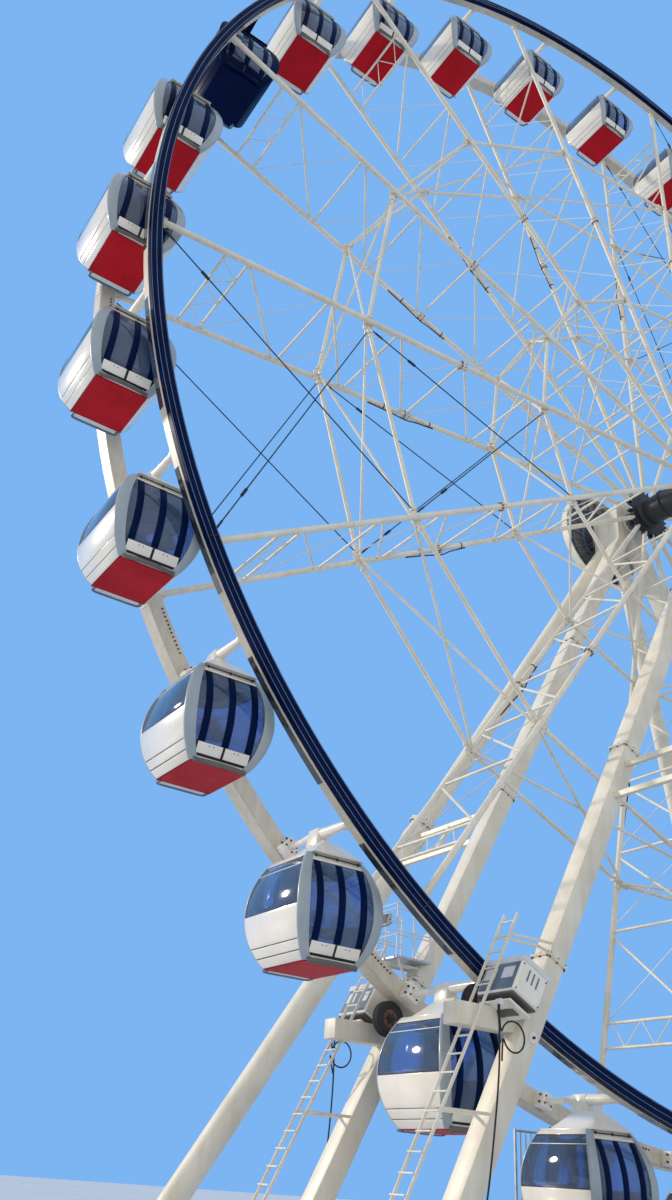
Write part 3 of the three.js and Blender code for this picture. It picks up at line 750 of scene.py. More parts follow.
for start, end in BRACES:
    parts.append(rod(chord_point(start, -1), chord_point(end, 1), 0.03, cream, 12))
    parts.append(rod(chord_point(start, 1), chord_point(end, -1), 0.013, rail_white, 6))
lace = [chord_point(STRUTS[k % 2], -1).lerp(chord_point(STRUTS[k % 2], 1), (k + 0.5) / 6)
        for k in range(6)]
parts += [rod(a, b, 0.014, cream, 8) for a, b in zip(lace, lace[1:])]
for radius in (OUTER_R, INNER_R):
    for side in (-1, 1):
        y, z = side * (chord_y(radius) - 0.11), HUB_Z - radius
        parts.append(block((-0.15, y - 0.012, z - 0.12), (0.15, y + 0.012, z + 0.12), cream, 0.003))
spoke_model = join(parts, "spoke_model")
for i, place in enumerate(at_spokes):
    number = f"{i + 1:02d}"
    spoke = copied(spoke_model, place)
    spoke.name = spoke.data.name = f"spoke_truss_{number}"
    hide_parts(f"spoke_{number}")
    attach(spoke, "wheel")
print("one spoke", faces_of(spoke), "faces")
bpy.data.objects.remove(spoke_model)

# %% [markdown]
# Ring ties join neighbouring spokes at two radii, in both planes, and crossed ties join the planes.
# One bay is modelled and turned fifteen times for each ring.

# %% Ring ties and cross ties
def ring_y(radius):
    return chord_y(radius) - 0.1119


def bay_point(radius, share, y, bay=0):
    first = on_wheel(radius, FIRST_SPOKE + bay * SPOKE_STEP, y)
    return first.lerp(on_wheel(radius, FIRST_SPOKE + (bay + 1) * SPOKE_STEP, y), share)


def bay_rod(radius, start, end, y0, y1, thick, sides):
    return rod(bay_point(radius, start, y0), bay_point(radius, end, y1), thick, cream, sides)


for radius, word in ((OUTER_R, "outer"), (INNER_R, "inner")):
    for side, plane in SIDES:
        y = side * ring_y(radius)
        tie = [bay_rod(radius, 0, 1, y, y, 0.052, 14)]
        tie += [bay_rod(radius, share - 0.006, share + 0.006, y, y, 0.085, 16)
                for share in (0.045, 0.955)]
        ring = repeated(tie, bays, f"{plane}_{word}_tie_ring")
        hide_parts(f"{plane}_{word}_ring")
        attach(ring, "wheel")
    reach = ring_y(radius) - 0.099
    crossed = [bay_rod(radius, 0.015, 0.985, lean * reach, -lean * reach, 0.033, 10) for lean in (-1, 1)]
    for lean in (-1, 1):
        corner, half = bay_point(radius, 0, lean * reach), Vector((0.045, 0.045, 0.045))
        crossed.append(block(corner - half, corner + half, cream, 0.006))
    crossed = repeated(crossed, bays, f"{word}_crossed_ties")
    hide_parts(f"{word}_cross_ties")
    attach(crossed, "wheel")
    print(word, "ties", faces_of(crossed), "faces")

# %% [markdown]
# In three bays steel cables cross between the rings and the rim and keep the wheel round. Each has a
# turnbuckle near its outer end. They are taut and go from end to end, so they are straight rods here.

# %% Stay cables with turnbuckles
CABLE_BAYS = (2, 7, 12)
CABLE_RUNS = ((INNER_R, ring_y(INNER_R), OUTER_R - 0.10, ring_y(OUTER_R)),
              (OUTER_R, ring_y(OUTER_R), 18.02, 1.265))
cables = []
for bay in CABLE_BAYS:
    for side in (-1, 1):
        for inner, inner_y, tip, tip_y in CABLE_RUNS:
            for lean, first, last in ((-1, 0.03, 0.97), (1, 0.97, 0.03)):
                layer = lean * 0.017
                start = bay_point(inner, first, side * inner_y + layer, bay)
                stop = bay_point(tip, last, side * tip_y + layer, bay)
                axis = (stop - start).normalized()
                cables.append(rod(start, stop, 0.015, cable_blue, 6))
                cables.append(disc(stop, axis, -1.35, -1.13, 0.034, rubber, 8))
                cables.append(disc(stop, axis, -0.30, -0.08, 0.024, dark_iron, 8))
cables = join(cables, "stay_cables")
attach(cables, "wheel")
print("cables", faces_of(cables), "faces")

# %% [markdown]
# The hub is a dark barrel between two thick flanges, and every spoke chord ends in a lug between a
# pair of plates on its flange. The barrel is spun from one outline, so its ribs and flanges are one
# smooth turned body, as they would be on a lathe.

# %% Hub
HUB_OUTLINE = [(0.148, -2.12), (0.148, -1.28), (0.34, -1.26), (0.36, -1.20), (0.735, -1.195),
               (0.75, -1.18), (0.75, -1.03), (0.735, -1.015), (0.52, -1.01), (0.43, -0.93),
               (0.43, -0.36), (0.47, -0.34), (0.47, -0.28), (0.43, -0.26)]
outline = HUB_OUTLINE + [(r, -y) for r, y in reversed(HUB_OUTLINE)] + [(0.02, 2.12), (0.02, -2.12)]
parts = [spun_ring(outline, hub_dark, 72)]
parts += [disc(AXLE, (0, side, 0), 2.10, 2.12, 0.10, hub_dark, 24) for side in (-1, 1)]
lug = []
for side in (-1, 1):
    y = side * ROOT_Y
    y0, y1 = y - 0.085, y + 0.085
    lug += [block((x - 0.012, y0, HUB_Z - 0.86), (x + 0.012, y1, HUB_Z - 0.60), hub_dark, 0.004)
            for x in (-0.085, 0.085)]
    lug.append(rod((-0.12, y, HUB_Z - 0.80), (0.12, y, HUB_Z - 0.80), 0.03, dark_iron, 10))
    lug += [bolt((x, side * 1.197, HUB_Z - 0.66), (0, side, 0), 0.022) for x in (-0.12, 0.12)]
hub = join(parts + [repeated(lug, at_spokes, "hub_lugs")], "hub_barrel")
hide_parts("hub")
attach(hub, "wheel")
print("hub", faces_of(hub), "faces")

# %% [markdown]
# Each tower is an A of two welded box legs that meet in a head plate round the axle. Its outline is
# drawn once as a flat face, extruded to the depth of the box and bevelled along every edge. Flange
# joints, foot plates and the bearing housing are added as real ones are: bolted on afterwards.

# %% Tower outline
BASE_TOP, FOOT_X, LEG, FRAME_Y = 0.18, 11.1, 0.42, 1.945
HEAD_HALF, HEAD_TOP, FOOT_GAP = 0.65, 21.65, 0.0003
SLOPE = FOOT_X / (HUB_Z - BASE_TOP)
LEG_HALF = LEG / 2 * math.sqrt(1 + SLOPE ** 2)
LEG_AXIS = Vector((SLOPE, 0, -1)).normalized()
FOOT_Z = BASE_TOP + FOOT_GAP


def leg_x(z):
    return SLOPE * (HUB_Z - z)


def outline_plate(points, y0, y1, material, edge):
    """A flat outline in X and Z, extruded along Y and bevelled."""
    deselect()
    bpy.ops.mesh.primitive_circle_add(vertices=len(points), radius=1, fill_type="NGON")
    plate = bpy.context.object
    for vertex, (x, z) in zip(plate.data.vertices, points):
        vertex.co = (x, y0, z)
    edit()
    bpy.ops.mesh.extrude_region_move(TRANSFORM_OT_translate={"value": (0, y1 - y0, 0)})
    bpy.ops.mesh.select_all(action="SELECT")
    bpy.ops.mesh.normals_make_consistent(inside=False)
    leave_edit(edge, 2)
    return coat(plate, material)


def tower_outline():
    shoulder = FOOT_Z + (FOOT_X + LEG_HALF - HEAD_HALF) / SLOPE
    apex = FOOT_Z + (FOOT_X - LEG_HALF) / SLOPE
    right = [(HEAD_HALF - 0.2, HEAD_TOP), (HEAD_HALF, HEAD_TOP - 0.2), (HEAD_HALF, shoulder),
             (FOOT_X + LEG_HALF, FOOT_Z), (FOOT_X - LEG_HALF, FOOT_Z)]
    return right + [(0, apex)] + [(-x, z) for x, z in reversed(right)]


print("leg slope", round(SLOPE, 4), "outline of", len(tower_outline()), "points")

# %% [markdown]
# The details of one leg are placed by the sign of its side: bolted joint flanges, gussets at the
# foot, and anchor bolts with their nuts.

# %% Leg details
LEG_JOINTS = (5.6, 10.4, 15.6)


def leg_flange(x_side, y, z):
    """A bolted joint across a leg: a thick collar with a row of bolts round it."""
    middle = Vector((x_side * leg_x(z), y, z))
    axis = Vector((x_side * LEG_AXIS.x, 0, LEG_AXIS.z))
    collar = [beam(middle + axis * low, middle + axis * high, 0.50, 0.50, cream, 0.005)
              for low, high in ((-0.03, -0.002), (0.002, 0.03))]
    across, along_y = axis.cross(Vector((0, 1, 0))), Vector((0, 1, 0))
    for u in (-0.19, 0, 0.19):
        for face in (-0.23, 0.23):
            collar += [disc(middle + offset, axis, -0.055, 0.055, 0.015, dark_iron, 6)
                       for offset in (across * u + along_y * face, across * face + along_y * u)]
    return collar


def leg_foot(x_side, y):
    x, plate = x_side * FOOT_X, FOOT_Z + 0.05
    pieces = [block((x - LEG, y - 0.36, FOOT_Z), (x + LEG, y + 0.36, plate), cream, 0.006)]
    for u in (-0.34, 0.34):
        for v in (-0.29, 0, 0.29):
            spot = (x + u, y + v, plate)
            pieces.append(disc(spot, (0, 0, 1), 0, 0.035, 0.032, dark_iron, 6))
            pieces.append(disc(spot, (0, 0, 1), 0.035, 0.07, 0.017, dark_iron, 8))
    x -= x_side * 0.02
    pieces += [block((x - 0.22, v - 0.008, plate), (x + 0.22, v + 0.008, plate + 0.24), cream, 0.004)
               for v in (y - 0.25, y + 0.25)]
    return pieces


print("leg joints at", LEG_JOINTS)

# %% [markdown]
# The axle end stands in a bearing housing on each head: a turned ring with a cap and a circle of
# bolts. A tower is the outline with its bearing, its feet and its leg joints.

# %% Bearing housing and tower
def bearing(side):
    face, inwards = Vector((0, side * (FRAME_Y + LEG / 2), HUB_Z)), (0, -side, 0)
    pieces = [disc(face, inwards, 0.42, 0.46, 0.36, cream, 40),
              disc(face, inwards, 0.46, 0.52, 0.27, slate, 36)]
    pieces += [bolt(face + Vector((x, -side * 0.46, z)), inwards, 0.024) for x, z in circle(12, 0.315)]
    return pieces


def tower(side):
    y = side * FRAME_Y
    pieces = [outline_plate(tower_outline(), y - LEG / 2, y + LEG / 2, cream, 0.022)] + bearing(side)
    for x_side in (-1, 1):
        pieces += leg_foot(x_side, y)
        for z in LEG_JOINTS:
            pieces += leg_flange(x_side, y, z)
    pieces.append(block((-0.5, y - 0.24, 18.55), (0.5, y + 0.24, 18.62), cream, 0.008))
    pieces += [block((x - 0.03, y - 0.12, 21.60), (x + 0.03, y + 0.12, 21.76), cream, 0.01)
               for x in (-0.35, 0.35)]
    return pieces


print("bearing faces at", FRAME_Y + LEG / 2)

# %% [markdown]
# The wheel is turned by rubber tyres that press on the rims. Each drive unit hangs on an arm from
# the left leg: a sheet metal housing with louvres, a motor below it, and the tyre on its hub.

# %% Drive units
TYRE_R, TYRE_HALF = 0.33, 0.11
TYRE_AT = {-1: Vector((-9.42, -1.385, 4.787)), 1: Vector((-9.42, 1.255, 4.729))}
HOUSE_LOW, HOUSE_HIGH = Vector((-9.48, 0, 4.64)), Vector((-9.11, 0, 5.35))
HOUSE_AXIS = (HOUSE_HIGH - HOUSE_LOW).normalized()
HOUSE_ACROSS = Vector((HOUSE_AXIS.z, 0, -HOUSE_AXIS.x))
HOUSE_PANELS = (
    ((-0.30, 0.34), (-0.31, 0.31), (-0.45, 0.49), lacquer, 0.03),
    ((0.27, 0.37), (-0.325, 0.325), (-0.465, 0.505), rail_white, 0.012),
    # The slate plate on the housing's left face is painted shade.
    ((-0.27, 0.25), (-0.318, -0.305), (-0.40, 0.44), slate, 0.003),
    ((-0.06, 0.16), (-0.328, -0.316), (-0.36, -0.08), rail_white, 0.004),
    ((-0.06, 0.16), (-0.328, -0.316), (0.08, 0.36), rail_white, 0.004),
    ((-0.34, -0.30), (-0.29, 0.29), (-0.42, 0.46), taupe, 0.01),
    ((-0.46, -0.42), (-0.25, 0.27), (-0.36, 0.42), lacquer, 0.01))


def tyre(centre):
    """A tyre is spun from its section, with grooves in the tread."""
    section = [(0.17, -TYRE_HALF + 0.02), (0.27, -TYRE_HALF), (0.315, -TYRE_HALF + 0.025),
               (TYRE_R, -TYRE_HALF + 0.05), (TYRE_R, -0.034), (TYRE_R - 0.012, -0.03),
               (TYRE_R - 0.012, -0.018), (TYRE_R, -0.014)]
    ring = spun_ring(section + [(r, -v) for r, v in reversed(section)], rubber, 48)
    ring.data.transform(Matrix.Translation(centre - AXLE))
    face = TYRE_HALF - 0.03
    pieces = [ring, disc(centre, (0, 1, 0), -face, face, 0.175, rust, 28),
              disc(centre, (0, 1, 0), -TYRE_HALF - 0.01, TYRE_HALF + 0.01, 0.075, dark_iron, 20)]
    pieces += [bolt(centre + Vector((x, out * face, z)), (0, out, 0), 0.016)
               for x, z in circle(6, 0.115) for out in (-1, 1)]
    return pieces


def at_house(side, along, across, out):
    """A point of the tilted housing: along it, across it, and outwards from its middle."""
    middle = (HOUSE_LOW + HOUSE_HIGH) / 2 + Vector((0, side * 2.11, 0))
    return middle + HOUSE_AXIS * along + HOUSE_ACROSS * across + Vector((0, side * out, 0))


def house_box(side, along, across, out, material, edge):
    """A box in the housing's own tilt, given by three pairs of limits."""
    low, high = [at_house(side, end, sum(across) / 2, sum(out) / 2) for end in along]
    return beam(low, high, across[1] - across[0], out[1] - out[0], material, edge)


def drive_unit(side):
    centre, outwards = TYRE_AT[side], (0, side, 0)
    y0, y1 = mirrored(side, 1.62, 2.0)
    pieces = tyre(centre) + [
        disc(centre, outwards, 0, 0.45, 0.06, dark_iron, 16),
        disc(centre, outwards, 0.13, 0.27, 0.13, slate, 20),
        block((-10.4, y0, 4.30), (-leg_x(4.3), y1, 4.66), cream, 0.014, 2)]
    pieces += [house_box(side, *panel) for panel in HOUSE_PANELS]
    tall = (-0.02, 0.20)
    for x in (-0.11, 0.0, 0.11):
        pieces.append(house_box(side, tall, (x - 0.016, x + 0.016), (0.485, 0.4935), slate, 0.002))
        pieces.append(house_box(side, tall, (x + 0.016, x + 0.026), (0.485, 0.502), lacquer, 0.003))
    pieces += [bolt(at_house(side, along, across, 0.49), outwards, 0.014, 0.012)
               for across in (-0.27, 0.27) for along in (-0.25, 0.22)]
    motor = at_house(side, -0.40, 0.05, -0.25)
    pieces.append(rod(motor, motor + Vector((0, side * 0.52, -0.02)), 0.10, taupe, 24))
    pieces += [disc(motor, outwards, 0.06 + k * 0.045, 0.074 + k * 0.045, 0.115, taupe, 24)
               for k in range(9)]
    return pieces


def drive_cables(side):
    """The supply rises from a box on the base beam, and its spare length is tied in a ring."""
    rise = [(-9.88, 2.40, 4.76), (-9.87, 2.43, 4.40), (-9.83, 2.40, 3.74), (-9.93, 2.32, 2.60),
            (-10.10, 2.24, 1.20), (-10.25, 1.95, 0.36)]
    ring = [(-9.88, 2.45, 4.72), (-9.90, 2.46, 4.40)]
    for k in range(13):
        a = math.radians(180 - 30 * k)
        ring.append((-9.63 + 0.25 * math.cos(a), 2.475 + 0.004 * k, 4.14 + 0.25 * math.sin(a)))
    ring += [(-9.88, 2.50, 4.00), (-9.84, 2.44, 3.76)]
    pieces = [hanging([(x, side * y, z) for x, y, z in run], thick, rubber)
              for run, thick in ((rise, 0.016), (ring, 0.015))]
    y0, y1 = mirrored(side, 1.82, 2.08)
    plate, outwards = (-8.87, side * 2.155, 4.24), (0, side, 0)
    pieces += [block((-10.36, y0, BASE_TOP), (-10.14, y1, 0.42), steel, 0.012, 2),
               disc((-9.87, 0, 4.66), outwards, 2.38, 2.48, 0.05, rail_white, 16),
               disc(plate, outwards, 0, 0.02, 0.09, lacquer, 24),
               disc(plate, outwards, 0.02, 0.05, 0.025, dark_iron, 6)]
    return pieces


print("housing axis", [round(v, 3) for v in HOUSE_AXIS])

# %% [markdown]
# Service ladders stand off the left legs on brackets. The stiles run parallel to the leg and the
# rungs are round bars at a step of 0.29 m.

# %% Ladders
LADDER_OFF, RUNG_STEP, LADDER_TOP, STILE = 1.265, 0.29, 6.3, 0.175


def ladder(side):
    y, pieces = side * FRAME_Y, []
    for v in (-STILE, STILE):
        low = Vector((-leg_x(0.2) - LADDER_OFF, y + v, 0.02))
        high = Vector((-leg_x(LADDER_TOP) - LADDER_OFF, y + v, LADDER_TOP))
        pieces.append(beam(low, high, 0.055, 0.025, cream))
        for z in (1.2, 3.0, 5.9):
            x = -leg_x(z)
            pieces.append(beam((x - LADDER_OFF, y + v, z), (x - 0.2, y + v, z), 0.05, 0.012, cream, 0.002))
    z = 0.35
    while z < LADDER_TOP - 0.1:
        x = -leg_x(z) - LADDER_OFF
        if not 4.2 < z < 4.75:
            pieces.append(rod((x, y - STILE, z), (x, y + STILE, z), 0.015, cream, 8))
        z += RUNG_STEP
    return pieces


print("ladder top", LADDER_TOP)

# %% [markdown]
# A small maintenance platform with rails and floodlights sits over the drive on the far left leg.
# Its rails are thin round bars, and the lamps are short boxes with a dark lens set in a frame.

# %% Platform and floodlights
PLATFORM_Z, PLATFORM_X0, PLATFORM_X1 = 6.03, -9.06, -8.15
RAIL_HEIGHTS = (6.45, 6.52, 6.98, 7.08)
LAMP_BOXES = ((0, 0.10, 0.26, 0.34, steel, 0.01), (0.10, 0.112, 0.22, 0.30, dark_iron, 0.004),
              (-0.02, 0, 0.16, 0.22, slate, 0.006))


def floodlight(at, aim):
    """A lamp box aimed along a direction, with cooling ribs behind and a dark lens in front."""
    at, aim = Vector(at), Vector(aim).normalized()
    pieces = [beam(at + aim * low, at + aim * high, *look) for low, high, *look in LAMP_BOXES]
    for k in range(5):
        rib = at + Vector((0, -0.08 + k * 0.04, 0))
        pieces.append(beam(rib - aim * 0.05, rib - aim * 0.02, 0.18, 0.012, slate, 0.002))
    pieces.append(disc(at + aim * 0.04, (0, 1, 0), -0.19, 0.19, 0.014, dark_iron, 8))
    return pieces


def platform(side):
    (y0, y1), x0, x1 = mirrored(side, FRAME_Y - 0.42, FRAME_Y + 0.62), PLATFORM_X0, PLATFORM_X1
    pieces = [block((x0, y0, PLATFORM_Z - 0.05), (x1, y1, PLATFORM_Z), steel, 0.006)]
    for y in (y0 + 0.02, y1 - 0.02):
        pieces += [rod((x, y, PLATFORM_Z), (x, y, 7.10), 0.022, rail_white, 10)
                   for x in (x0 + 0.02, (x0 + x1) / 2, x1 - 0.02)]
        pieces += [rod((x0, y, z), (x1, y, z), 0.014, rail_white, 8) for z in RAIL_HEIGHTS]
        stay = (-leg_x(5.2) - 0.2, y, 5.2)
        pieces.append(rod((x0 + 0.05, y, PLATFORM_Z - 0.05), stay, 0.022, cream, 8))
    pieces += [rod((x0, y0, z), (x0, y1, z), 0.014, rail_white, 8) for z in RAIL_HEIGHTS]
    for y in (y0 + 0.25, y1 - 0.25):
        pieces += floodlight((x0 - 0.10, y, 6.72), (-1, 0, 0.25))
    pieces.append(rod((x0 - 0.1, y0 + 0.05, 6.66), (x0 - 0.1, y1 - 0.05, 6.66), 0.02, steel, 8))
    return pieces


for side, word in SIDES:
    frame_piece = join(tower(side), f"{word}_tower")
    drive = join(drive_unit(side) + drive_cables(side), f"{word}_drive")
    access = join(ladder(side) + (platform(side) if side > 0 else []), f"{word}_access")
    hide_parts(f"{word}_a_frame")
    for piece in (frame_piece, drive, access):
        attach(piece, "structure")
    print(word, "tower", faces_of(frame_piece), faces_of(drive), faces_of(access), "faces")

# %% [markdown]
# Outriggers stop the towers from tipping sideways. Each is two round tubes bolted at a flange, with
# the thicker tube below, and two horizontal ties brace it to the leg. Tubes get plenty of sides,
# because they stand against the sky.

# %% Outriggers
PROP_TOP_Y, PROP_TOP_Z, PROP_FOOT_Y, PROP_JOINT_Z = 2.4, 20.9, 7.82, 10.4
PROP_TIES = (10.0, 9.2)


def outrigger(x_side, side):
    top = Vector((0, side * PROP_TOP_Y, PROP_TOP_Z))
    foot = Vector((x_side * FOOT_X, side * PROP_FOOT_Y, BASE_TOP))
    axis = (foot - top).normalized()

    def at_height(z):
        return top.lerp(foot, (PROP_TOP_Z - z) / (PROP_TOP_Z - BASE_TOP))

    joint = at_height(PROP_JOINT_Z)
    pieces = [rod(top + axis * 0.55, joint, 0.23, cream, 32),
              rod(joint, foot - axis * 0.18, 0.305, cream, 36),
              disc(joint, axis, -0.20, -0.05, 0.23, cream, 32, tip=0.33),
              disc(joint, axis, -0.055, -0.004, 0.37, cream, 36),
              disc(joint, axis, 0.004, 0.055, 0.37, cream, 36)]
    across = axis.cross(Vector((0, 0, 1))).normalized()
    third = axis.cross(across)
    pieces += [disc(joint + across * u + third * v, axis, -0.09, 0.09, 0.017, dark_iron, 6)
               for u, v in circle(16, 0.335)]
    x, y, plate = foot.x, foot.y, BASE_TOP + 0.05
    pieces.append(block((x - 0.42, y - 0.42, FOOT_Z), (x + 0.42, y + 0.42, plate), cream, 0.006))
    pieces += [disc((x + u, y + v, plate), (0, 0, 1), 0, 0.04, 0.035, dark_iron, 6)
               for u in (-0.34, 0.34) for v in (-0.34, 0.34)]
    for u, v in circle(4, 0.30, 45):
        u, v = x + u, y + v
        pieces.append(block((u - 0.09, v - 0.09, plate), (u + 0.09, v + 0.09, plate + 0.03), cream, 0.01))
    middles = []
    for z in PROP_TIES:
        outer, inner = at_height(z), Vector((x_side * leg_x(z), side * (FRAME_Y + LEG / 2), z))
        pieces.append(beam(inner, outer, 0.12, 0.12, cream, 0.01, side=(0, 0, 1)))
        pieces.append(disc(outer, axis, -0.12, 0.12, 0.325, cream, 32))
        middles.append(inner.lerp(outer, 0.5))
    pieces.append(beam(*middles, 0.10, 0.10, cream, 0.008))
    return pieces


print("outrigger foot", FOOT_X, PROP_FOOT_Y)

# %% [markdown]
# The saddle joins both outriggers to the tower head, and the round cover stands in front of it. The
# cover is a spun shell: cream outside, and open at the back with dark radial ribs.

# %% Saddle and hub cover
COVER_SKIN = [(0.03, 3.335), (1.19, 3.318), (1.60, 3.236), (1.65, 3.20), (1.65, 2.98), (1.61, 2.98),
              (1.61, 3.19), (1.18, 3.27), (0.03, 3.30)]
COVER_LINING = [(0.24, 3.292), (1.17, 3.262), (1.60, 3.182), (1.60, 3.172), (1.17, 3.25), (0.24, 3.28)]


def hub_cover(side):
    pieces = [spun_ring(COVER_SKIN, cream, 72, side), spun_ring(COVER_LINING, cover_grey, 72, side),
              disc(AXLE, (0, side, 0), 2.75, 3.345, 0.24, cream, 36),
              disc(AXLE, (0, side, 0), 2.82, 2.88, 0.34, cream, 36)]
    pieces += [beam((u * 0.22, side * 3.20, HUB_Z + v * 0.22), (u * 1.58, side * 3.15, HUB_Z + v * 1.58),
                    0.018, 0.09, slate, 0.002) for v, u in circle(24, 1)]
    for radius in (0.7, 1.2):
        low, high = radius - 0.012, radius + 0.012
        pieces.append(spun_ring([(low, 3.13), (high, 3.13), (high, 3.24), (low, 3.24)], slate, 72, side))
    return pieces


def saddle(side):
    y0, y1 = mirrored(side, 2.1553, 2.8)
    pieces = [block((-0.6, y0, 20.15), (0.6, y1, 21.45), cream, 0.03, 2)]
    y0, y1 = mirrored(side, 2.75, 2.8)
    pieces += [block((x - 0.012, y0, 20.2), (x + 0.012, y1, 21.4), cream, 0.003)
               for x in (-0.45, -0.15, 0.15, 0.45)]
    pieces += [bolt((x, side * 2.8, z), (0, side, 0), 0.03, 0.03)
               for x in (-0.5, 0.5) for z in (20.3, 20.8, 21.3)]
    return pieces


for side, word in SIDES:
    props = saddle(side) + hub_cover(side) + outrigger(-1, side) + outrigger(1, side)
    props = join(props, f"{word}_props")
    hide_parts(f"{word}_outriggers")
    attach(props, "structure")
    print(word, "props", faces_of(props), "faces")

# %% [markdown]
# The base is a grid of galvanised steel beams. An open beam shows two flanges and a web, so each
# beam is a block whose long sides are inset and pushed in, which leaves the web between them.

# %% Base beams
def base_beam(low, high, along_x=False):
    """A rolled steel beam: the side faces are inset and pushed inwards."""
    box = block(low, high, steel)
    across = 1 if along_x else 0
    depth = min(high[across] - low[across], 0.5) * 0.22
    edit_faces(box, lambda normal: abs(normal[across]) > 0.9)
    bpy.ops.mesh.inset(thickness=0.022, depth=-depth, use_individual=True)
    leave_edit(0.003)
    return box


parts = []
for side in (-1, 1):
    x = side * FOOT_X
    y0, y1 = mirrored(side, 1.735, 2.155)
    parts.append(base_beam((x - 0.35, -8.32, 0), (x + 0.35, 8.32, BASE_TOP)))
    parts.append(base_beam((-FOOT_X + 0.35, y0, 0), (FOOT_X - 0.35, y1, BASE_TOP), along_x=True))
for x in (-5.7, -2.85, 0, 2.85, 5.7):
    for y0, y1 in ((-5.0, -2.155), (-1.735, 1.735)):
        parts.append(base_beam((x - 0.1, y0, 0), (x + 0.1, y1, BASE_TOP)))
parts += [bolt((x, y, BASE_TOP), (0, 0, 1), 0.03, 0.03) for y in (-2.4, -1.5, 1.5, 2.4)
          for x in (-FOOT_X - 0.2, -FOOT_X + 0.2, FOOT_X - 0.2, FOOT_X + 0.2)]
print("base", faces_of(*parts), "faces")

# %% [markdown]
# A guard fence stands on the far base beam. It is posts, rails and upright bars about 0.14 m
# apart, so nobody reaches the wheel between them.

# %% Guard fence and rails
def fence(stations, place, low, bar_step=0.1, bar=0.008):
    """Posts, two rails and upright bars along a line of (distance, top) stations."""
    pieces = [beam(place(s, low - 0.2), place(s, top), 0.05, 0.05, steel, 0.006, side=(1, 0, 0))
              for s, top in stations]
    for (s0, top0), (s1, top1) in zip(stations, stations[1:]):
        pieces.append(rod(place(s0, top0 - 0.03), place(s1, top1 - 0.03), 0.024, steel, 10))
        pieces.append(rod(place(s0, low), place(s1, low), 0.018, steel, 8))
        steps = max(1, round(abs(s1 - s0) / bar_step))
        for k in range(1, steps):
            s, top = s0 + (s1 - s0) * k / steps, top0 + (top1 - top0) * k / steps - 0.03
            pieces.append(rod(place(s, low), place(s, top), bar, steel, 5))
    return pieces


GUARD_HIGH, GUARD_LOW = 3.15, 1.34
guard = [(s, GUARD_HIGH if abs(s) > 3 else GUARD_LOW)
         for s in (-5.5, -4.45, -3.4, -2.0, 0, 2.0, 3.4, 4.45, 5.5)]
parts += fence(guard, lambda s, z: Vector((s, FRAME_Y, z)), 0.38, bar_step=0.14, bar=0.016)
base = join(parts, "base_beams")
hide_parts("base_frame")
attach(base, "structure")
print("base and fence", faces_of(base), "faces")

# %% [markdown]
# The deck is sheet steel with raised ribs that give grip. The ribs are in the material: a wave bump
# crossed with another, fine enough to read as chequer plate from close by.

# %% Chequer plate and deck
def chequer_plate(name):
    material = paint(name, (0.46, 0.48, 0.50), (0.34, 0.36, 0.38), 0.4, metallic=0.7, scale=3)
    tree = material.node_tree
    place, bump = tree.nodes["Texture Coordinate"], tree.nodes["Bump"]
    set_inputs(bump, {"Strength": 0.5})
    both = add_node(tree, "Math", operation="MULTIPLY")
    for k, turn in enumerate((45, -45)):
        tilt = add_node(tree, "Mapping", {"Rotation": (0, 0, math.radians(turn))})
        wave = add_node(tree, "TexWave", {"Scale": 9})
        wire(tree, (place, "Object", tilt, "Vector"), (tilt, "Vector", wave, "Vector"),
             (wave, "Fac", both, k))
    wire(tree, (both, "Value", bump, "Height"))
    return material


chequer = chequer_plate("deck_plate")
DECK_X, DECK_NEAR, DECK_FAR, DECK_TOP, SHEET = 6.0, -5.0, 1.7, 0.24, 2.0
parts = []
for k in range(6):
    x0, x1 = k * SHEET - DECK_X + 0.004, (k + 1) * SHEET - DECK_X - 0.004
    parts.append(block((x0, DECK_NEAR, FOOT_Z), (x1, DECK_FAR, DECK_TOP), chequer, 0.008))
rail_top, rail_low = DECK_TOP + 1.1, DECK_TOP + 0.16
near_line, edge = DECK_NEAR + 0.06, DECK_X - 0.06
for side in (-1, 1):
    run = [(side * x, rail_top) for x in (1.2, 2.8, 4.37, edge)]
    parts += fence(run, lambda s, z: Vector((s, near_line, z)), rail_low)
    run = [(near_line, rail_top), (-2.43, rail_top)]
    parts += fence(run, lambda s, z: Vector((side * edge, s, z)), rail_low)
deck = join(parts, "deck_and_rails")
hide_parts("boarding_deck")
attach(deck, "structure")
print("deck", faces_of(deck), "faces")

# %% [markdown]
# The picture was taken from the ground beside the wheel, looking up with the camera tilted a little.
# The camera stands at that spot with the same turn and the same field of view.

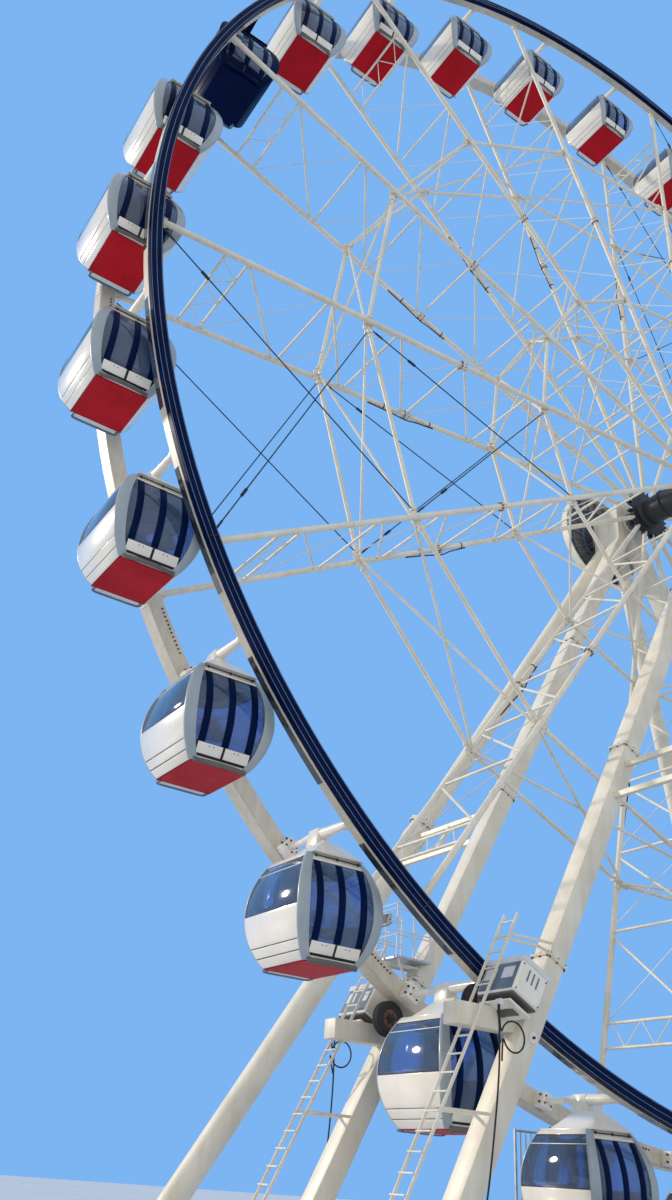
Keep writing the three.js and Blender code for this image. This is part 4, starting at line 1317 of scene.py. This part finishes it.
# %% Camera
eye = Vector((-21.84, -15.565, 1.81))
yaw, pitch, roll = math.radians(31.97), math.radians(30.54), math.radians(4.35)
forward = Vector((math.sin(yaw) * math.cos(pitch), math.cos(yaw) * math.cos(pitch), math.sin(pitch)))
level = forward.cross(Vector((0, 0, 1))).normalized()
upright = level.cross(forward)
right = level * math.cos(roll) + upright * math.sin(roll)
top = upright * math.cos(roll) - level * math.sin(roll)
bpy.ops.object.camera_add(location=eye)
camera = bpy.context.object
camera.matrix_world = Matrix.Translation(eye) @ Matrix((right, top, -forward)).transposed().to_4x4()
camera.data.sensor_fit = "VERTICAL"
camera.data.sensor_height = 36
camera.data.lens = 29.88
camera.data.clip_end = 500
bpy.context.scene.camera = camera
print("camera looks", [round(v, 4) for v in forward])

# %% [markdown]
# A warm sun stands low behind the wheel on the left, so the cabins throw their shadow on the near
# rim. The fill is a soft studio dome: blue behind the wheel and warm white behind the camera, which
# keeps the faces in shade clear. The floor is a plain pale plane below the base.

# %% Floor and light
deselect()
bpy.ops.mesh.primitive_plane_add(size=400, location=(0, 0, -0.01))
pale_floor = paint("pale_floor", (0.72, 0.71, 0.69), (0.68, 0.67, 0.65), 0.6, streaks=0.0, scale=0.05)
floor = coat(bpy.context.object, pale_floor)
floor.name = "floor"
bpy.ops.object.light_add(type="SUN")
sun = bpy.context.object
sun.rotation_euler = Vector((-0.60, 0.72, 0.34)).to_track_quat("Z", "Y").to_euler()
sun.data.energy = 2.1
sun.data.angle = math.radians(4)
sun.data.color = (1.0, 0.88, 0.70)
world = bpy.data.worlds.new("studio")
bpy.context.scene.world = world
world.use_nodes = True
tree = world.node_tree
background = tree.nodes["Background"]
set_inputs(background, {"Strength": 0.92})
facing = add_node(tree, "TexCoord")
towards = add_node(tree, "VectorMath", {1: (-0.60, -0.75, -0.10)}, operation="DOT_PRODUCT")
spread = add_node(tree, "MapRange", {"From Min": -0.45, "From Max": 0.75})
blend = add_node(tree, "Mix", {"A": (0.22, 0.50, 0.97, 1), "B": (1.0, 0.95, 0.87, 1)}, data_type="RGBA")
wire(tree, (facing, "Generated", towards, 0), (towards, "Value", spread, "Value"),
     (spread, "Result", blend, "Factor"), (blend, "Result", background, "Color"))
bpy.context.scene.view_settings.view_transform = "Standard"
print("sun turned", [round(math.degrees(v)) for v in sun.rotation_euler])
